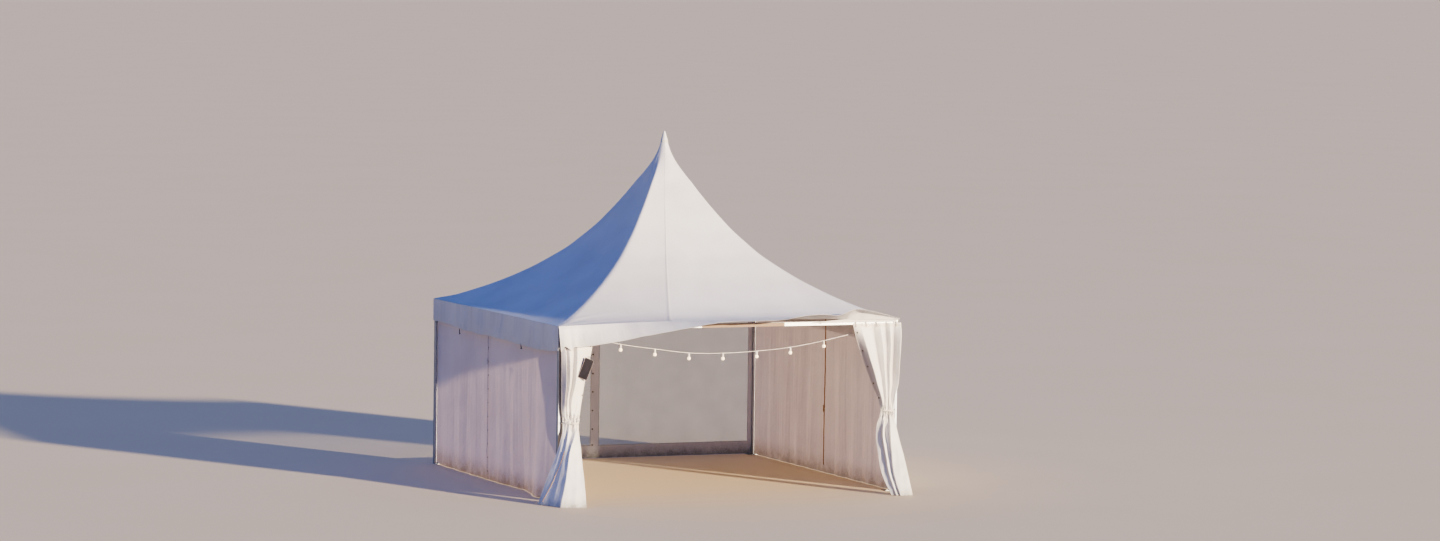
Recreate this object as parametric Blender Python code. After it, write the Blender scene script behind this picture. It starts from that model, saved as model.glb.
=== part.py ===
"""A five metre marquee with a peaked roof, standing open at the front.

The origin is on the ground, under the middle of the whole shape. X runs along the open
front, Y runs to the back wall and Z is up. Every size is in metres.
"""

import math

import bpy
from mathutils import Vector

# The frame. SIDE_LENGTH is the width over the outer faces of the roof cloth.
SIDE_LENGTH = 5.0
EAVE = 2.36
RISE = 2.49
POST = 0.065
BEAM_TALL = 0.055
BEAM_TOP_DROP = 0.005
FRAME_INSET = 0.010
BLOCK = 0.075
GUSSET_REACH = 0.065
GUSSET_THICK = 0.006
GUSSET_DROP = 0.012
GUSSET_TALL = 0.030
FOOT_PLATE = 0.150
FOOT_THICK = 0.008
FOOT_STEP = 0.070
EDGE = 0.002

# The king pole stands on four stay cables.
POLE_RADIUS = 0.030
POLE_FOOT_DROP = 0.180
POLE_FOOT_BLOCK = 0.100
POLE_FOOT_TALL = 0.070
POLE_CHAMFER = 0.006
STAY_RADIUS = 0.004

# Cloth. GAP is the clearance between two pieces that touch.
CLOTH = 0.003
GAP = 0.0003
VALANCE_DROP = 0.30
VALANCE_RIPPLE = 0.010
HEM_SWING = 0.012
FRONT_LIFT = 0.045
ROOF_STEPS = 10
FACE_DISH = 0.035

# The cap over the roof's top ring.
CAP_SKIRT = 0.035
CAP_WALL = 0.004
CAP_TIP_RADIUS = 0.010
CAP_TIP_TALL = 0.006
CAP_CLEAR = 0.0015

# Walls, hung under the beams between the legs.
WALL_FOOT_CLEAR = 0.004
WALL_WAVE = 0.009
FOOT_FLARE = 0.100
LEFT_SEAM = 0.26
RIGHT_SEAM = 0.0
REAR_SEAM = -0.035
WINDOW_SIDE = 0.070
WINDOW_TOP = 0.120
WINDOW_FOOT = 0.200

# The curtains' widths where they hang from the beam, and how they lap over it.
LEFT_WIDE = 0.50
RIGHT_WIDE = 0.66
CURTAIN_LAP = 0.020
TIE_TALL = 0.030
TIE_WALL = 0.004
TIE_ROOM = 0.001
TIE_GRIP = 0.030

# The festoon: its cord's sag, and its lamps from the cord's left and right ends.
FESTOON_RADIUS = 0.004
FESTOON_IN = 0.110
FESTOON_SAG = 0.358
BULB_COUNT = 8
BULB_FROM_LEFT = 0.2055
BULB_FROM_RIGHT = 0.4905
BULB_RADIUS = 0.025
SOCKET_RADIUS = 0.014
SOCKET_TALL = 0.045
SOCKET_EDGE = 0.004
HOOK_RADIUS = 0.005
HOOK_BASE_RADIUS = 0.006
HOOK_BASE_TALL = 0.004
HOOK_BELOW_CORD = 0.010

# The plaque, from the tent's left side and from the beam's foot.
PLAQUE_IN = 0.410
PLAQUE_DOWN = 0.508
PLAQUE_WIDE = 0.136
PLAQUE_TALL = 0.285
PLAQUE_THICK = 0.006
PLAQUE_TILT = 22.0

# Sizes that follow from those above.
DIAGONAL = math.sqrt(2)
HALF = SIDE_LENGTH / 2
FRAME = HALF - FRAME_INSET
BEAM_TOP = EAVE - BEAM_TOP_DROP
BEAM_FOOT = BEAM_TOP - BEAM_TALL
BEAM_MID = FRAME - POST / 2
LEG_TOP = BEAM_FOOT - GAP
LEG_INNER = FRAME - POST
BLOCK_INNER = FRAME - BLOCK
PEAK = EAVE + RISE
HIP_FOOT = (0.912, 0.027)
HIP_SLOPE = RISE * HIP_FOOT[1] / ((1.0 - HIP_FOOT[0]) * HALF)
BRACKET_TOP = EAVE + FRAME_INSET * HIP_SLOPE - CLOTH / 2 - GAP * 2
POLE_FOOT_LOW = EAVE - POLE_FOOT_DROP
POLE_FOOT_TOP = POLE_FOOT_LOW + POLE_FOOT_TALL
WALL_TOP = BEAM_FOOT - GAP
FOOT_STEP_REACH = FOOT_PLATE - POST + FOOT_STEP

# The hip's curve: share of the half diagonal, then share of the rise.
HIP = (
    (0.0120, 0.954),
    (0.0195, 0.924),
    (0.0285, 0.891),
    (0.0425, 0.858),
    (0.0775, 0.792),
    (0.1150, 0.727),
    (0.1555, 0.661),
    (0.1980, 0.596),
    (0.2430, 0.532),
    (0.2915, 0.467),
    (0.3490, 0.402),
    (0.4200, 0.328),
    (0.4900, 0.270),
    (0.5590, 0.218),
    (0.6400, 0.165),
    (0.7440, 0.105),
    (0.8230, 0.066),
    HIP_FOOT,
    (1.0000, 0.000),
)

# Near the peak the rings turn from squares to circles, which reach further than a
# square's side does by this much.
ROUND_REACH = 1.19
ROUND_FROM = 0.12
ROUND_OVER = 0.09

# The front valance's hem, lifted by the wind: share of the half side, then out and up
# as shares of the valance's drop.
FRONT_HEM = (
    (-1.000, 0.33, -0.94),
    (-0.900, 0.27, -0.96),
    (-0.786, 0.51, -0.86),
    (-0.645, 0.73, -0.69),
    (-0.515, 0.87, -0.50),
    (-0.403, 0.93, -0.37),
    (-0.318, 0.97, -0.26),
    (-0.232, 0.99, -0.15),
    (-0.131, 1.00, -0.05),
    (-0.029, 1.00, 0.01),
    (0.147, 1.00, 0.02),
    (0.265, 1.00, 0.06),
    (0.369, 0.98, 0.20),
    (0.488, 0.96, 0.27),
    (0.592, 0.96, 0.27),
    (0.692, 0.86, 0.51),
    (0.800, 0.62, 0.42),
    (0.900, 0.33, 0.25),
    (0.968, 0.13, 0.12),
    (1.000, 0.07, 0.07),
)

# The right valance is drawn up at the front corner: share of the half side, then drop.
RIGHT_HEM = ((-1.0, 0.10), (-0.92, 0.50), (-0.80, 0.90), (-0.68, 1.0), (1.0, 1.0))

# The left valance hangs a little deeper towards the front.
LEFT_HEM = (
    (-1.00, 1.03),
    (-0.69, 1.06),
    (-0.56, 1.12),
    (-0.30, 1.155),
    (0.15, 1.155),
    (0.42, 1.205),
    (0.75, 1.215),
    (0.976, 1.107),
    (1.00, 1.08),
)

# The left wall's foot, blown out and in: share from its front end, then how far out.
LEFT_FOOT = (
    (0.00, 0.00),
    (0.04, 0.00),
    (0.10, 0.55),
    (0.16, 0.95),
    (0.21, 1.00),
    (0.28, 0.75),
    (0.38, 0.05),
    (0.49, -0.40),
    (0.65, -0.25),
    (0.82, 0.00),
    (1.00, 0.00),
)

# The curtains, row by row from the top: share of the height, then the outer end and the
# inner end as distances in from the corner and out from the front, then the fold depth.
# All but the first are shares of the curtain's width.
LEFT_CURTAIN = (
    (1.000, 0.020, 0.000, 0.960, 0.000, 0.000),
    (0.950, -0.010, 0.036, 0.970, 0.036, 0.016),
    (0.870, -0.044, 0.070, 0.946, 0.070, 0.032),
    (0.800, 0.020, 0.090, 0.850, 0.090, 0.040),
    (0.726, 0.082, 0.100, 0.742, 0.100, 0.044),
    (0.575, 0.168, 0.100, 0.656, 0.100, 0.044),
    (0.472, 0.176, 0.100, 0.580, 0.100, 0.032),
    (0.444, 0.168, 0.100, 0.570, 0.100, 0.032),
    (0.325, -0.046, 0.208, 0.484, 0.484, 0.044),
    (0.167, -0.390, 0.350, 0.378, 0.980, 0.060),
    (0.000, -0.772, 0.490, 0.296, 1.486, 0.072),
)
RIGHT_CURTAIN = (
    (1.000, -0.023, 0.000, 1.011, 0.000, 0.000),
    (0.950, -0.023, 0.027, 0.992, 0.027, 0.015),
    (0.850, 0.000, 0.061, 0.909, 0.061, 0.030),
    (0.740, 0.023, 0.076, 0.780, 0.076, 0.036),
    (0.640, 0.068, 0.083, 0.636, 0.083, 0.033),
    (0.550, 0.144, 0.083, 0.503, 0.083, 0.021),
    (0.497, 0.242, 0.083, 0.432, 0.083, 0.015),
    (0.469, 0.250, 0.083, 0.439, 0.083, 0.015),
    (0.400, 0.174, 0.197, 0.523, 0.106, 0.021),
    (0.330, 0.083, 0.303, 0.530, 0.136, 0.027),
    (0.140, 0.053, 0.682, 0.530, 0.394, 0.039),
    (0.000, 0.021, 0.923, 0.412, 0.788, 0.052),
)
LEFT_FOLDS = 4
RIGHT_FOLDS = 5
TIE_ROW = 6
LEFT_DRAPE = (LEFT_CURTAIN, LEFT_WIDE, LEFT_FOLDS, -1)
RIGHT_DRAPE = (RIGHT_CURTAIN, RIGHT_WIDE, RIGHT_FOLDS, 1)

# Finishes: base colour, metallic, roughness, see-through share.
FINISH = {
    "roof_pvc": ((0.72, 0.71, 0.70), 0.0, 0.42, 0.0),
    "wall_pvc": ((0.70, 0.68, 0.66), 0.0, 0.50, 0.0),
    "curtain_pvc": ((0.84, 0.82, 0.78), 0.0, 0.50, 0.0),
    "window_pvc": ((0.86, 0.89, 0.90), 0.0, 0.10, 0.9),
    "aluminium": ((0.60, 0.61, 0.62), 0.9, 0.38, 0.0),
    "galvanised_steel": ((0.45, 0.46, 0.47), 0.9, 0.45, 0.0),
    "wire_rope": ((0.40, 0.41, 0.42), 0.9, 0.35, 0.0),
    "webbing": ((0.80, 0.79, 0.76), 0.0, 0.80, 0.0),
    "festoon_cable": ((0.82, 0.82, 0.80), 0.0, 0.45, 0.0),
    "warm_glass": ((0.95, 0.82, 0.62), 0.0, 0.20, 0.0),
    "slate_board": ((0.11, 0.12, 0.14), 0.0, 0.55, 0.0),
}


def finish(name):
    """The material of this name, made the first time it is asked for."""
    made = bpy.data.materials.get(name)
    if made:
        return made
    colour, metallic, roughness, clear = FINISH[name]
    made = bpy.data.materials.new(name)
    made.use_nodes = True
    shader = made.node_tree.nodes["Principled BSDF"]
    shader.inputs["Base Color"].default_value = (*colour, 1.0)
    shader.inputs["Metallic"].default_value = metallic
    shader.inputs["Roughness"].default_value = roughness
    shader.inputs["Transmission Weight"].default_value = clear
    return made


def volume_sign(points, faces):
    """Positive when the faces point outwards."""
    total = 0.0
    for face in faces:
        first = points[face[0]]
        for j in range(1, len(face) - 1):
            total += first.dot(points[face[j]].cross(points[face[j + 1]]))
    return total


def add(name, points, faces, material, smooth=True):
    """One closed mesh as a named object under the tent's root."""
    points = [Vector(p) for p in points]
    if volume_sign(points, faces) < 0:
        faces = [tuple(reversed(face)) for face in faces]
    mesh = bpy.data.meshes.new(name)
    mesh.from_pydata([tuple(p) for p in points], [], faces)
    mesh.update()
    for polygon in mesh.polygons:
        polygon.use_smooth = smooth
    mesh.materials.append(finish(material))
    made = bpy.data.objects.new(name, mesh)
    bpy.context.scene.collection.objects.link(made)
    made.parent = root
    return made


def box(name, low, high, material, bevel=0.0):
    x0, y0, z0 = low
    x1, y1, z1 = high
    points = [(x, y, z) for z in (z0, z1) for x, y in ((x0, y0), (x1, y0), (x1, y1), (x0, y1))]
    faces = [(3, 2, 1, 0), (4, 5, 6, 7)]
    faces += [(j, (j + 1) % 4, (j + 1) % 4 + 4, j + 4) for j in range(4)]
    made = add(name, points, faces, material, smooth=False)
    if bevel:
        rounding = made.modifiers.new("Rounding", "BEVEL")
        rounding.width = bevel
        rounding.segments = 1
    return made


def loft(name, rings, material, smooth=True):
    """A closed body through rings with the same number of points, capped at both ends."""
    count = len(rings[0])
    points = [p for ring in rings for p in ring]
    faces = [tuple(range(count)), tuple(reversed(range(len(points) - count, len(points))))]
    for i in range(len(rings) - 1):
        for j in range(count):
            a = i * count + j
            b = i * count + (j + 1) % count
            faces.append((a, a + count, b + count, b))
    return add(name, points, faces, material, smooth)


def circle(centre, radius, count=16, turn=0.0):
    cx, cy, cz = centre
    angles = [turn + 2 * math.pi * j / count for j in range(count)]
    return [(cx + radius * math.cos(a), cy + radius * math.sin(a), cz) for a in angles]


def grid_normals(grid, wrap):
    """The unit normal at each point of a grid of points."""
    rows, columns = len(grid), len(grid[0])
    normals = []
    for i in range(rows):
        line = []
        for j in range(columns):
            up = grid[min(i + 1, rows - 1)][j] - grid[max(i - 1, 0)][j]
            if wrap:
                along = grid[i][(j + 1) % columns] - grid[i][j - 1]
            else:
                along = grid[i][min(j + 1, columns - 1)] - grid[i][max(j - 1, 0)]
            line.append(along.cross(up).normalized())
        normals.append(line)
    return normals


def cloth(name, grid, material, wrap=False, thick=CLOTH):
    """A sheet of even thickness through a grid of points, closed round its edges."""
    grid = [[Vector(p) for p in row] for row in grid]
    normals = grid_normals(grid, wrap)
    rows, columns = len(grid), len(grid[0])
    points = []
    for side in (0.5, -0.5):
        for i in range(rows):
            for j in range(columns):
                points.append(grid[i][j] + normals[i][j] * thick * side)
    back = rows * columns
    faces = []
    spans = columns if wrap else columns - 1
    for i in range(rows - 1):
        for j in range(spans):
            k = (j + 1) % columns
            a, b, c, d = (i * columns + j, i * columns + k, (i + 1) * columns + k, (i + 1) * columns + j)
            faces.append((a, b, c, d))
            faces.append((a + back, d + back, c + back, b + back))
    for j in range(spans):
        k = (j + 1) % columns
        last = (rows - 1) * columns
        faces.append((k, j, j + back, k + back))
        faces.append((last + j, last + k, last + k + back, last + j + back))
    if not wrap:
        for i in range(rows - 1):
            a, b = i * columns, (i + 1) * columns
            c, d = a + columns - 1, b + columns - 1
            faces.append((a, b, b + back, a + back))
            faces.append((d, c, c + back, d + back))
    return add(name, points, faces, material)


def between(table, at, column):
    """The table's value at this place, read along straight lines."""
    if at <= table[0][0]:
        return table[0][column]
    for low, high in zip(table, table[1:]):
        if at <= high[0]:
            share = (at - low[0]) / (high[0] - low[0])
            return low[column] + share * (high[column] - low[column])
    return table[-1][column]


def spaced(low, high, count):
    return [low + (high - low) * j / (count - 1) for j in range(count)]


def leg(name, sx, sy):
    """A box section post on a flat foot plate that reaches inwards only."""
    outer_x, outer_y = sx * FRAME, sy * FRAME
    inner_x, inner_y = sx * LEG_INNER, sy * LEG_INNER
    foot_x, foot_y = sx * (FRAME - FOOT_PLATE), sy * (FRAME - FOOT_PLATE)

    def ring(ax, ay, bx, by, z):
        corners = [(ax, ay), (bx, ay), (bx, by), (ax, by)]
        return [(x, y, z) for x, y in corners]

    rings = [
        ring(foot_x, foot_y, outer_x, outer_y, 0.0),
        ring(foot_x, foot_y, outer_x, outer_y, FOOT_THICK),
        ring(inner_x, inner_y, outer_x, outer_y, FOOT_THICK + EDGE),
        ring(inner_x, inner_y, outer_x, outer_y, LEG_TOP),
    ]
    return loft(name, rings, "aluminium", smooth=False)


def bracket(name, sx, sy):
    """The corner block that joins two beams, with a plate inwards for the stay cable."""
    size = (FRAME + BLOCK_INNER) / 2
    low = (-BLOCK / 2, -BLOCK / 2, BEAM_FOOT)
    high = (BLOCK / 2, BLOCK / 2, BRACKET_TOP)
    block = box(name, low, high, "galvanised_steel")
    reach = BLOCK / DIAGONAL + GUSSET_REACH
    top = BEAM_TOP - GUSSET_DROP
    plate = box(
        name + "_plate",
        (0.0, -GUSSET_THICK / 2, top - GUSSET_TALL),
        (reach, GUSSET_THICK / 2, top),
        "galvanised_steel",
    )
    plate.rotation_euler[2] = math.atan2(-sy, -sx)
    plate.location = (sx * size, sy * size, 0.0)
    plate.hide_render = True
    plate.display_type = "WIRE"
    block.location = (sx * size, sy * size, 0.0)
    join = block.modifiers.new("Plate", "BOOLEAN")
    join.operation = "UNION"
    join.solver = "EXACT"
    join.object = plate
    return block


def beam(name, axis, sign):
    """An eave beam between two corner blocks."""
    span = BLOCK_INNER - GAP
    near, far = sorted((sign * FRAME, sign * LEG_INNER))
    if axis == "x":
        low, high = (-span, near, BEAM_FOOT), (span, far, BEAM_TOP)
    else:
        low, high = (near, -span, BEAM_FOOT), (far, span, BEAM_TOP)
    return box(name, low, high, "aluminium", EDGE)


def king_pole():
    """The centre tube, its square foot turned to the corners, and its head disc."""
    top = canopy_top() - GAP
    half = POLE_FOOT_BLOCK / DIAGONAL
    small = half - POLE_CHAMFER

    def square(size, z):
        corners = [(size, 0), (0, size), (-size, 0), (0, -size)]
        ring = []
        for j in range(4):
            a, b = corners[j], corners[(j + 1) % 4]
            ring += [(a[0] + (b[0] - a[0]) * k / 4, a[1] + (b[1] - a[1]) * k / 4, z) for k in range(4)]
        return ring

    rings = [
        square(small, POLE_FOOT_LOW),
        square(half, POLE_FOOT_LOW + POLE_CHAMFER),
        square(half, POLE_FOOT_TOP),
        circle((0, 0, POLE_FOOT_TOP + POLE_CHAMFER), POLE_RADIUS),
        circle((0, 0, top), POLE_RADIUS),
    ]
    return loft("king_pole", rings, "aluminium", smooth=False)


def stay(name, sx, sy):
    """A taut wire rope from a corner plate to the king pole's foot."""
    size = (FRAME + BLOCK_INNER) / DIAGONAL
    outer = size - BLOCK / DIAGONAL - GUSSET_REACH - GAP
    inner = POLE_FOOT_BLOCK / 2 + GAP
    outer_z = BEAM_TOP - GUSSET_DROP - GUSSET_TALL / 2
    inner_z = (POLE_FOOT_LOW + POLE_FOOT_TOP) / 2
    along = Vector((sx, sy, 0)).normalized()
    across = Vector((-along.y, along.x, 0))
    rings = []
    for reach, height in ((outer, outer_z), (inner, inner_z)):
        ring = []
        for j in range(8):
            a = 2 * math.pi * (j + 0.5) / 8
            middle = along * reach + Vector((0, 0, height))
            offset = across * math.cos(a) + Vector((0, 0, 1)) * math.sin(a)
            ring.append(tuple(middle + offset * STAY_RADIUS))
        rings.append(ring)
    return loft(name, rings, "wire_rope")


def turned(x, y, turn):
    return x * math.cos(turn) - y * math.sin(turn), x * math.sin(turn) + y * math.cos(turn)


def canopy_top():
    return EAVE + RISE * HIP[0][1]


def canopy_grid(per_side):
    """Rings of the roof from the top down. Each is a square with softened, dished sides.

    The outermost ring is straight, and its front side is lifted in the middle.
    """
    grid = []
    for share, up in HIP:
        half = HALF * share
        height = EAVE + RISE * up
        round_share = max(0.0, min(1.0, (ROUND_FROM - share) / ROUND_OVER))
        dish = 0.0 if share == HIP[-1][0] else FACE_DISH
        raised = FRONT_LIFT * max(0.0, (share - 0.80) / 0.20) ** 1.5
        row = []
        for side in range(4):
            lift = raised if side == 0 else 0.0
            for j in range(per_side):
                t = -1.0 + 2 * j / per_side
                arch = 1 - t * t
                x = half * t * (1.0 - dish * arch * 0.3)
                y = -half * (1.0 - dish * arch)
                grow = 1 + round_share * (half * ROUND_REACH / math.hypot(x, y) - 1)
                px, py = turned(x * grow, y * grow, side * math.pi / 2)
                row.append((px, py, height + lift * arch))
        grid.append(row)
    return grid


def canopy():
    return cloth("roof_canopy", canopy_grid(ROOF_STEPS), "roof_pvc", wrap=True)


def peak_cap():
    """A small cone over the roof's top ring."""
    top = canopy_top()
    skirt = top - CAP_SKIRT
    reach = HALF * ROUND_REACH
    slope = (HIP[1][0] - HIP[0][0]) * reach / (RISE * (HIP[0][1] - HIP[1][1]))
    at_top = HIP[0][0] * reach + CLOTH + CAP_CLEAR
    at_skirt = at_top + slope * CAP_SKIRT
    inner_top = top + CLOTH / 6 + GAP
    hub = min(POLE_RADIUS, at_top) * 0.9
    count = 16
    rings = [
        circle((0, 0, skirt), at_skirt),
        circle((0, 0, skirt), at_skirt + CAP_WALL),
        circle((0, 0, PEAK - CAP_TIP_TALL), CAP_TIP_RADIUS),
        circle((0, 0, PEAK), CAP_TIP_RADIUS / 2),
        circle((0, 0, inner_top), at_top),
        circle((0, 0, inner_top), hub),
        circle((0, 0, top), hub),
    ]
    points = [p for ring in rings for p in ring]
    faces = []
    for low, high in ((0, 1), (1, 2), (2, 3), (4, 0), (5, 4), (6, 5)):
        for j in range(count):
            k = (j + 1) % count
            faces.append((low * count + j, low * count + k, high * count + k, high * count + j))
    faces.append(tuple(range(3 * count, 4 * count)))
    faces.append(tuple(reversed(range(6 * count, 7 * count))))
    return add("peak_cap", points, faces, "roof_pvc")


def eave_line(t, lift):
    """Height of the roof's edge along one side, on the roof's own straight steps."""
    place = (t + 1.0) * ROOF_STEPS / 2
    step = min(ROOF_STEPS - 1, int(place))
    a, b = (-1.0 + 2.0 * j / ROOF_STEPS for j in (step, step + 1))
    arch = (1 - a * a) * (step + 1 - place) + (1 - b * b) * (place - step)
    return EAVE + lift * arch


def valance(name, turn, hem, lift=0.0):
    """A strip that hangs from the roof's edge. hem(t) gives how far its foot is out and up."""
    rim = CLOTH / 2 + GAP * 2
    end = 1.0 - (CLOTH / 2 + GAP) / HALF
    grid = []
    for down in reversed(spaced(0.0, 1.0, 4)):
        row = []
        for t in spaced(-end, end, 37):
            out, up = hem(t)
            ripple = VALANCE_RIPPLE / 2 * abs(math.sin(down * math.pi) * math.sin(t * 17.0))
            level = out / math.hypot(out, up)
            y = -HALF - rim * level - out * down - ripple * (1 - t * t)
            px, py = turned(HALF * t, y, turn)
            row.append((px, py, eave_line(t, lift) - rim * (1 - level) + up * down))
        grid.append(row)
    return cloth(name, grid, "roof_pvc")


def front_hem(t):
    return VALANCE_DROP * between(FRONT_HEM, t, 1), VALANCE_DROP * between(FRONT_HEM, t, 2)


def plain_hem(t):
    return HEM_SWING * (1 - t * t) * (1 + math.sin(t * 21.0)), -VALANCE_DROP


def right_hem(t):
    out, up = plain_hem(t)
    return out, up * between(RIGHT_HEM, t, 1)


def left_hem(t):
    out, up = plain_hem(t)
    return out, up * between(LEFT_HEM, t, 1)


def foot_height(along):
    """How high a wall's foot is: it clears the ground, and the foot plate beside a leg."""
    if LEG_INNER - abs(along) < FOOT_STEP_REACH:
        return FOOT_THICK + EDGE + GAP
    return WALL_FOOT_CLEAR


def wall(name, axis, sign, low, high, waves, flare=((0.0, 0.0), (1.0, 0.0))):
    """A wall panel between two stations, in soft upright waves. The flare moves its foot."""
    base = sign * BEAM_MID
    grid = []
    for level in spaced(0.0, 1.0, 6):
        down = 1 - level
        row = []
        for a in spaced(low, high, waves * 6 + 1):
            z = WALL_TOP * level + foot_height(a) * down
            share = (a - low) / (high - low)
            edge = math.sqrt(max(0.0, math.sin(math.pi * share)))
            wave = WALL_WAVE * math.sin(2 * math.pi * waves * share + 0.6) * edge
            out = FOOT_FLARE * between(flare, share, 1) * down ** 3
            off = base + (wave * (0.35 + 0.65 * down) + out) * sign
            row.append((a, off, z) if axis == "x" else (off, a, z))
        grid.append(row)
    return cloth(name, grid, "wall_pvc")


def rear_border(name, low, high):
    """A flat border round one rear window."""
    if low < -HALF / 2:
        step_x = low + FOOT_STEP_REACH
    else:
        step_x = high - FOOT_STEP_REACH
    foot = [(x, foot_height(x + side)) for x, side in
            ((low, 0), (step_x, -2 * GAP), (step_x, 2 * GAP), (high, 0))]
    outer = foot + [(high, WALL_TOP), (low, WALL_TOP)]
    inner = window_edges(low, high)
    front = [(x, BEAM_MID - CLOTH / 2, z) for x, z in outer + list(inner)]
    back = [(x, BEAM_MID + CLOTH / 2, z) for x, z in outer + list(inner)]
    flat = ((0, 1, 2, 3, 7, 6), (3, 4, 8, 7), (4, 5, 9, 8), (5, 0, 6, 9))
    faces = []
    for face in flat:
        faces.append(face)
        faces.append(tuple(j + 10 for j in reversed(face)))
    for loop in (range(6), (9, 8, 7, 6)):
        loop = list(loop)
        for j, k in zip(loop, loop[1:] + loop[:1]):
            faces.append((k, j, j + 10, k + 10))
    return add(name, front + back, faces, "wall_pvc", smooth=False)


def window_edges(low, high):
    left, right = low + WINDOW_SIDE, high - WINDOW_SIDE
    foot, top = WINDOW_FOOT, BEAM_FOOT - WINDOW_TOP
    return ((left, foot), (right, foot), (right, top), (left, top))


def rear_window(name, low, high):
    """The clear sheet that fills the border."""
    (left, foot), _, (right, top), _ = window_edges(low, high)
    grid = []
    for z in spaced(foot + GAP, top - GAP, 4):
        row = []
        for x in spaced(left + GAP, right - GAP, 15):
            share = (x - left) / (right - left)
            swell = math.sin(math.pi * share) * math.sin(math.pi * (z - foot) / (top - foot))
            row.append((x, BEAM_MID + 0.006 * swell * math.sin(share * 40.0), z))
        grid.append(row)
    return cloth(name, grid, "window_pvc")


def curtain_row(drape, row):
    """One level of a curtain: a line of points with folds."""
    table, wide, folds, sign = drape
    share = table[row][0]
    outer_in, outer_out, inner_in, inner_out, depth = (wide * part for part in table[row][1:])
    z = WALL_FOOT_CLEAR + (BEAM_FOOT + CURTAIN_LAP - WALL_FOOT_CLEAR) * share
    face = -FRAME - CLOTH / 2 - GAP * 2
    a = Vector((sign * (HALF - outer_in), face - outer_out, z))
    b = Vector((sign * (HALF - inner_in), face - inner_out, z))
    across = (b - a).normalized()
    normal = Vector((across.y, -across.x, 0)) * sign
    if normal.y > 0:
        normal = -normal
    line = []
    for s in spaced(0.0, 1.0, folds * 7 + 1):
        wave = depth * math.sin(2 * math.pi * folds * s + share * 2.0)
        line.append(a.lerp(b, s) + normal * wave)
    return line


def curtain(name, drape):
    rows = range(len(drape[0]) - 1, -1, -1)
    return cloth(name, [curtain_row(drape, row) for row in rows], "curtain_pvc")


def tie(name, drape):
    """A flat band round the gathered curtain, reaching back to the leg's front."""
    line = curtain_row(drape, TIE_ROW) + curtain_row(drape, TIE_ROW + 1)
    middle = (line[0].z + line[-1].z) / 2
    room = CLOTH + TIE_ROOM
    x0, x1 = min(p.x for p in line) - room, max(p.x for p in line) + room
    y0 = min(p.y for p in line) - room
    y1 = -FRAME - GAP - TIE_WALL
    ox0, ox1 = x0 - TIE_WALL, x1 + TIE_WALL
    if drape[3] < 0:
        ox0 = min(ox0, -LEG_INNER - TIE_GRIP)
    else:
        ox1 = max(ox1, LEG_INNER + TIE_GRIP)
    outer = ((ox0, y0 - TIE_WALL), (ox1, y0 - TIE_WALL), (ox1, y1 + TIE_WALL), (ox0, y1 + TIE_WALL))
    inner = ((x0, y0), (x1, y0), (x1, y1), (x0, y1))
    points = []
    for z in (middle - TIE_TALL / 2, middle + TIE_TALL / 2):
        points += [(x, y, z) for x, y in outer]
        points += [(x, y, z) for x, y in inner]
    faces = []
    for j in range(4):
        k = (j + 1) % 4
        faces.append((k, j, j + 4, k + 4))
        faces.append((j + 8, k + 8, k + 12, j + 12))
        faces.append((j, k, k + 8, j + 8))
        faces.append((k + 4, j + 4, j + 12, k + 12))
    return add(name, points, faces, "webbing", smooth=False)


def smooth_curve(points, count):
    """Points evenly spread along a smooth line through the chosen points."""
    fine = []
    for i in range(len(points) - 1):
        a = Vector(points[max(i - 1, 0)])
        b = Vector(points[i])
        c = Vector(points[i + 1])
        d = Vector(points[min(i + 2, len(points) - 1)])
        for k in range(24):
            t = k / 24
            fine.append(
                0.5 * ((2 * b) + (c - a) * t + (2 * a - 5 * b + 4 * c - d) * t * t
                       + (3 * b - a - 3 * c + d) * t ** 3)
            )
    fine.append(Vector(points[-1]))
    lengths = [0.0]
    for p, q in zip(fine, fine[1:]):
        lengths.append(lengths[-1] + (q - p).length)
    out = []
    at = 0
    for k in range(count):
        want = lengths[-1] * k / (count - 1)
        while at < len(fine) - 2 and lengths[at + 1] < want:
            at += 1
        share = (want - lengths[at]) / max(lengths[at + 1] - lengths[at], 1e-9)
        out.append(fine[at].lerp(fine[at + 1], min(1.0, share)))
    return out


# The festoon's line: share of the half side, then share of the sag below the beam's foot.
FESTOON_LINE = (
    (-0.905, 0.103),
    (-0.816, 0.274),
    (-0.617, 0.587),
    (-0.420, 0.788),
    (-0.223, 0.964),
    (-0.026, 1.000),
    (0.177, 0.947),
    (0.370, 0.832),
    (0.563, 0.617),
    (0.767, 0.321),
)


def festoon_points():
    y = -FRAME + FESTOON_IN
    return [(HALF * share, y, BEAM_FOOT - FESTOON_SAG * drop) for share, drop in FESTOON_LINE]


def festoon():
    curve = bpy.data.curves.new("festoon_cord", "CURVE")
    curve.dimensions = "3D"
    curve.bevel_depth = FESTOON_RADIUS
    curve.bevel_resolution = 2
    curve.use_fill_caps = True
    line = curve.splines.new("POLY")
    path = smooth_curve(festoon_points(), 60)
    line.points.add(len(path) - 1)
    for point, place in zip(line.points, path):
        point.co = (*place, 1.0)
    curve.materials.append(finish("festoon_cable"))
    made = bpy.data.objects.new("festoon_cord", curve)
    bpy.context.scene.collection.objects.link(made)
    made.parent = root
    return path


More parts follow.
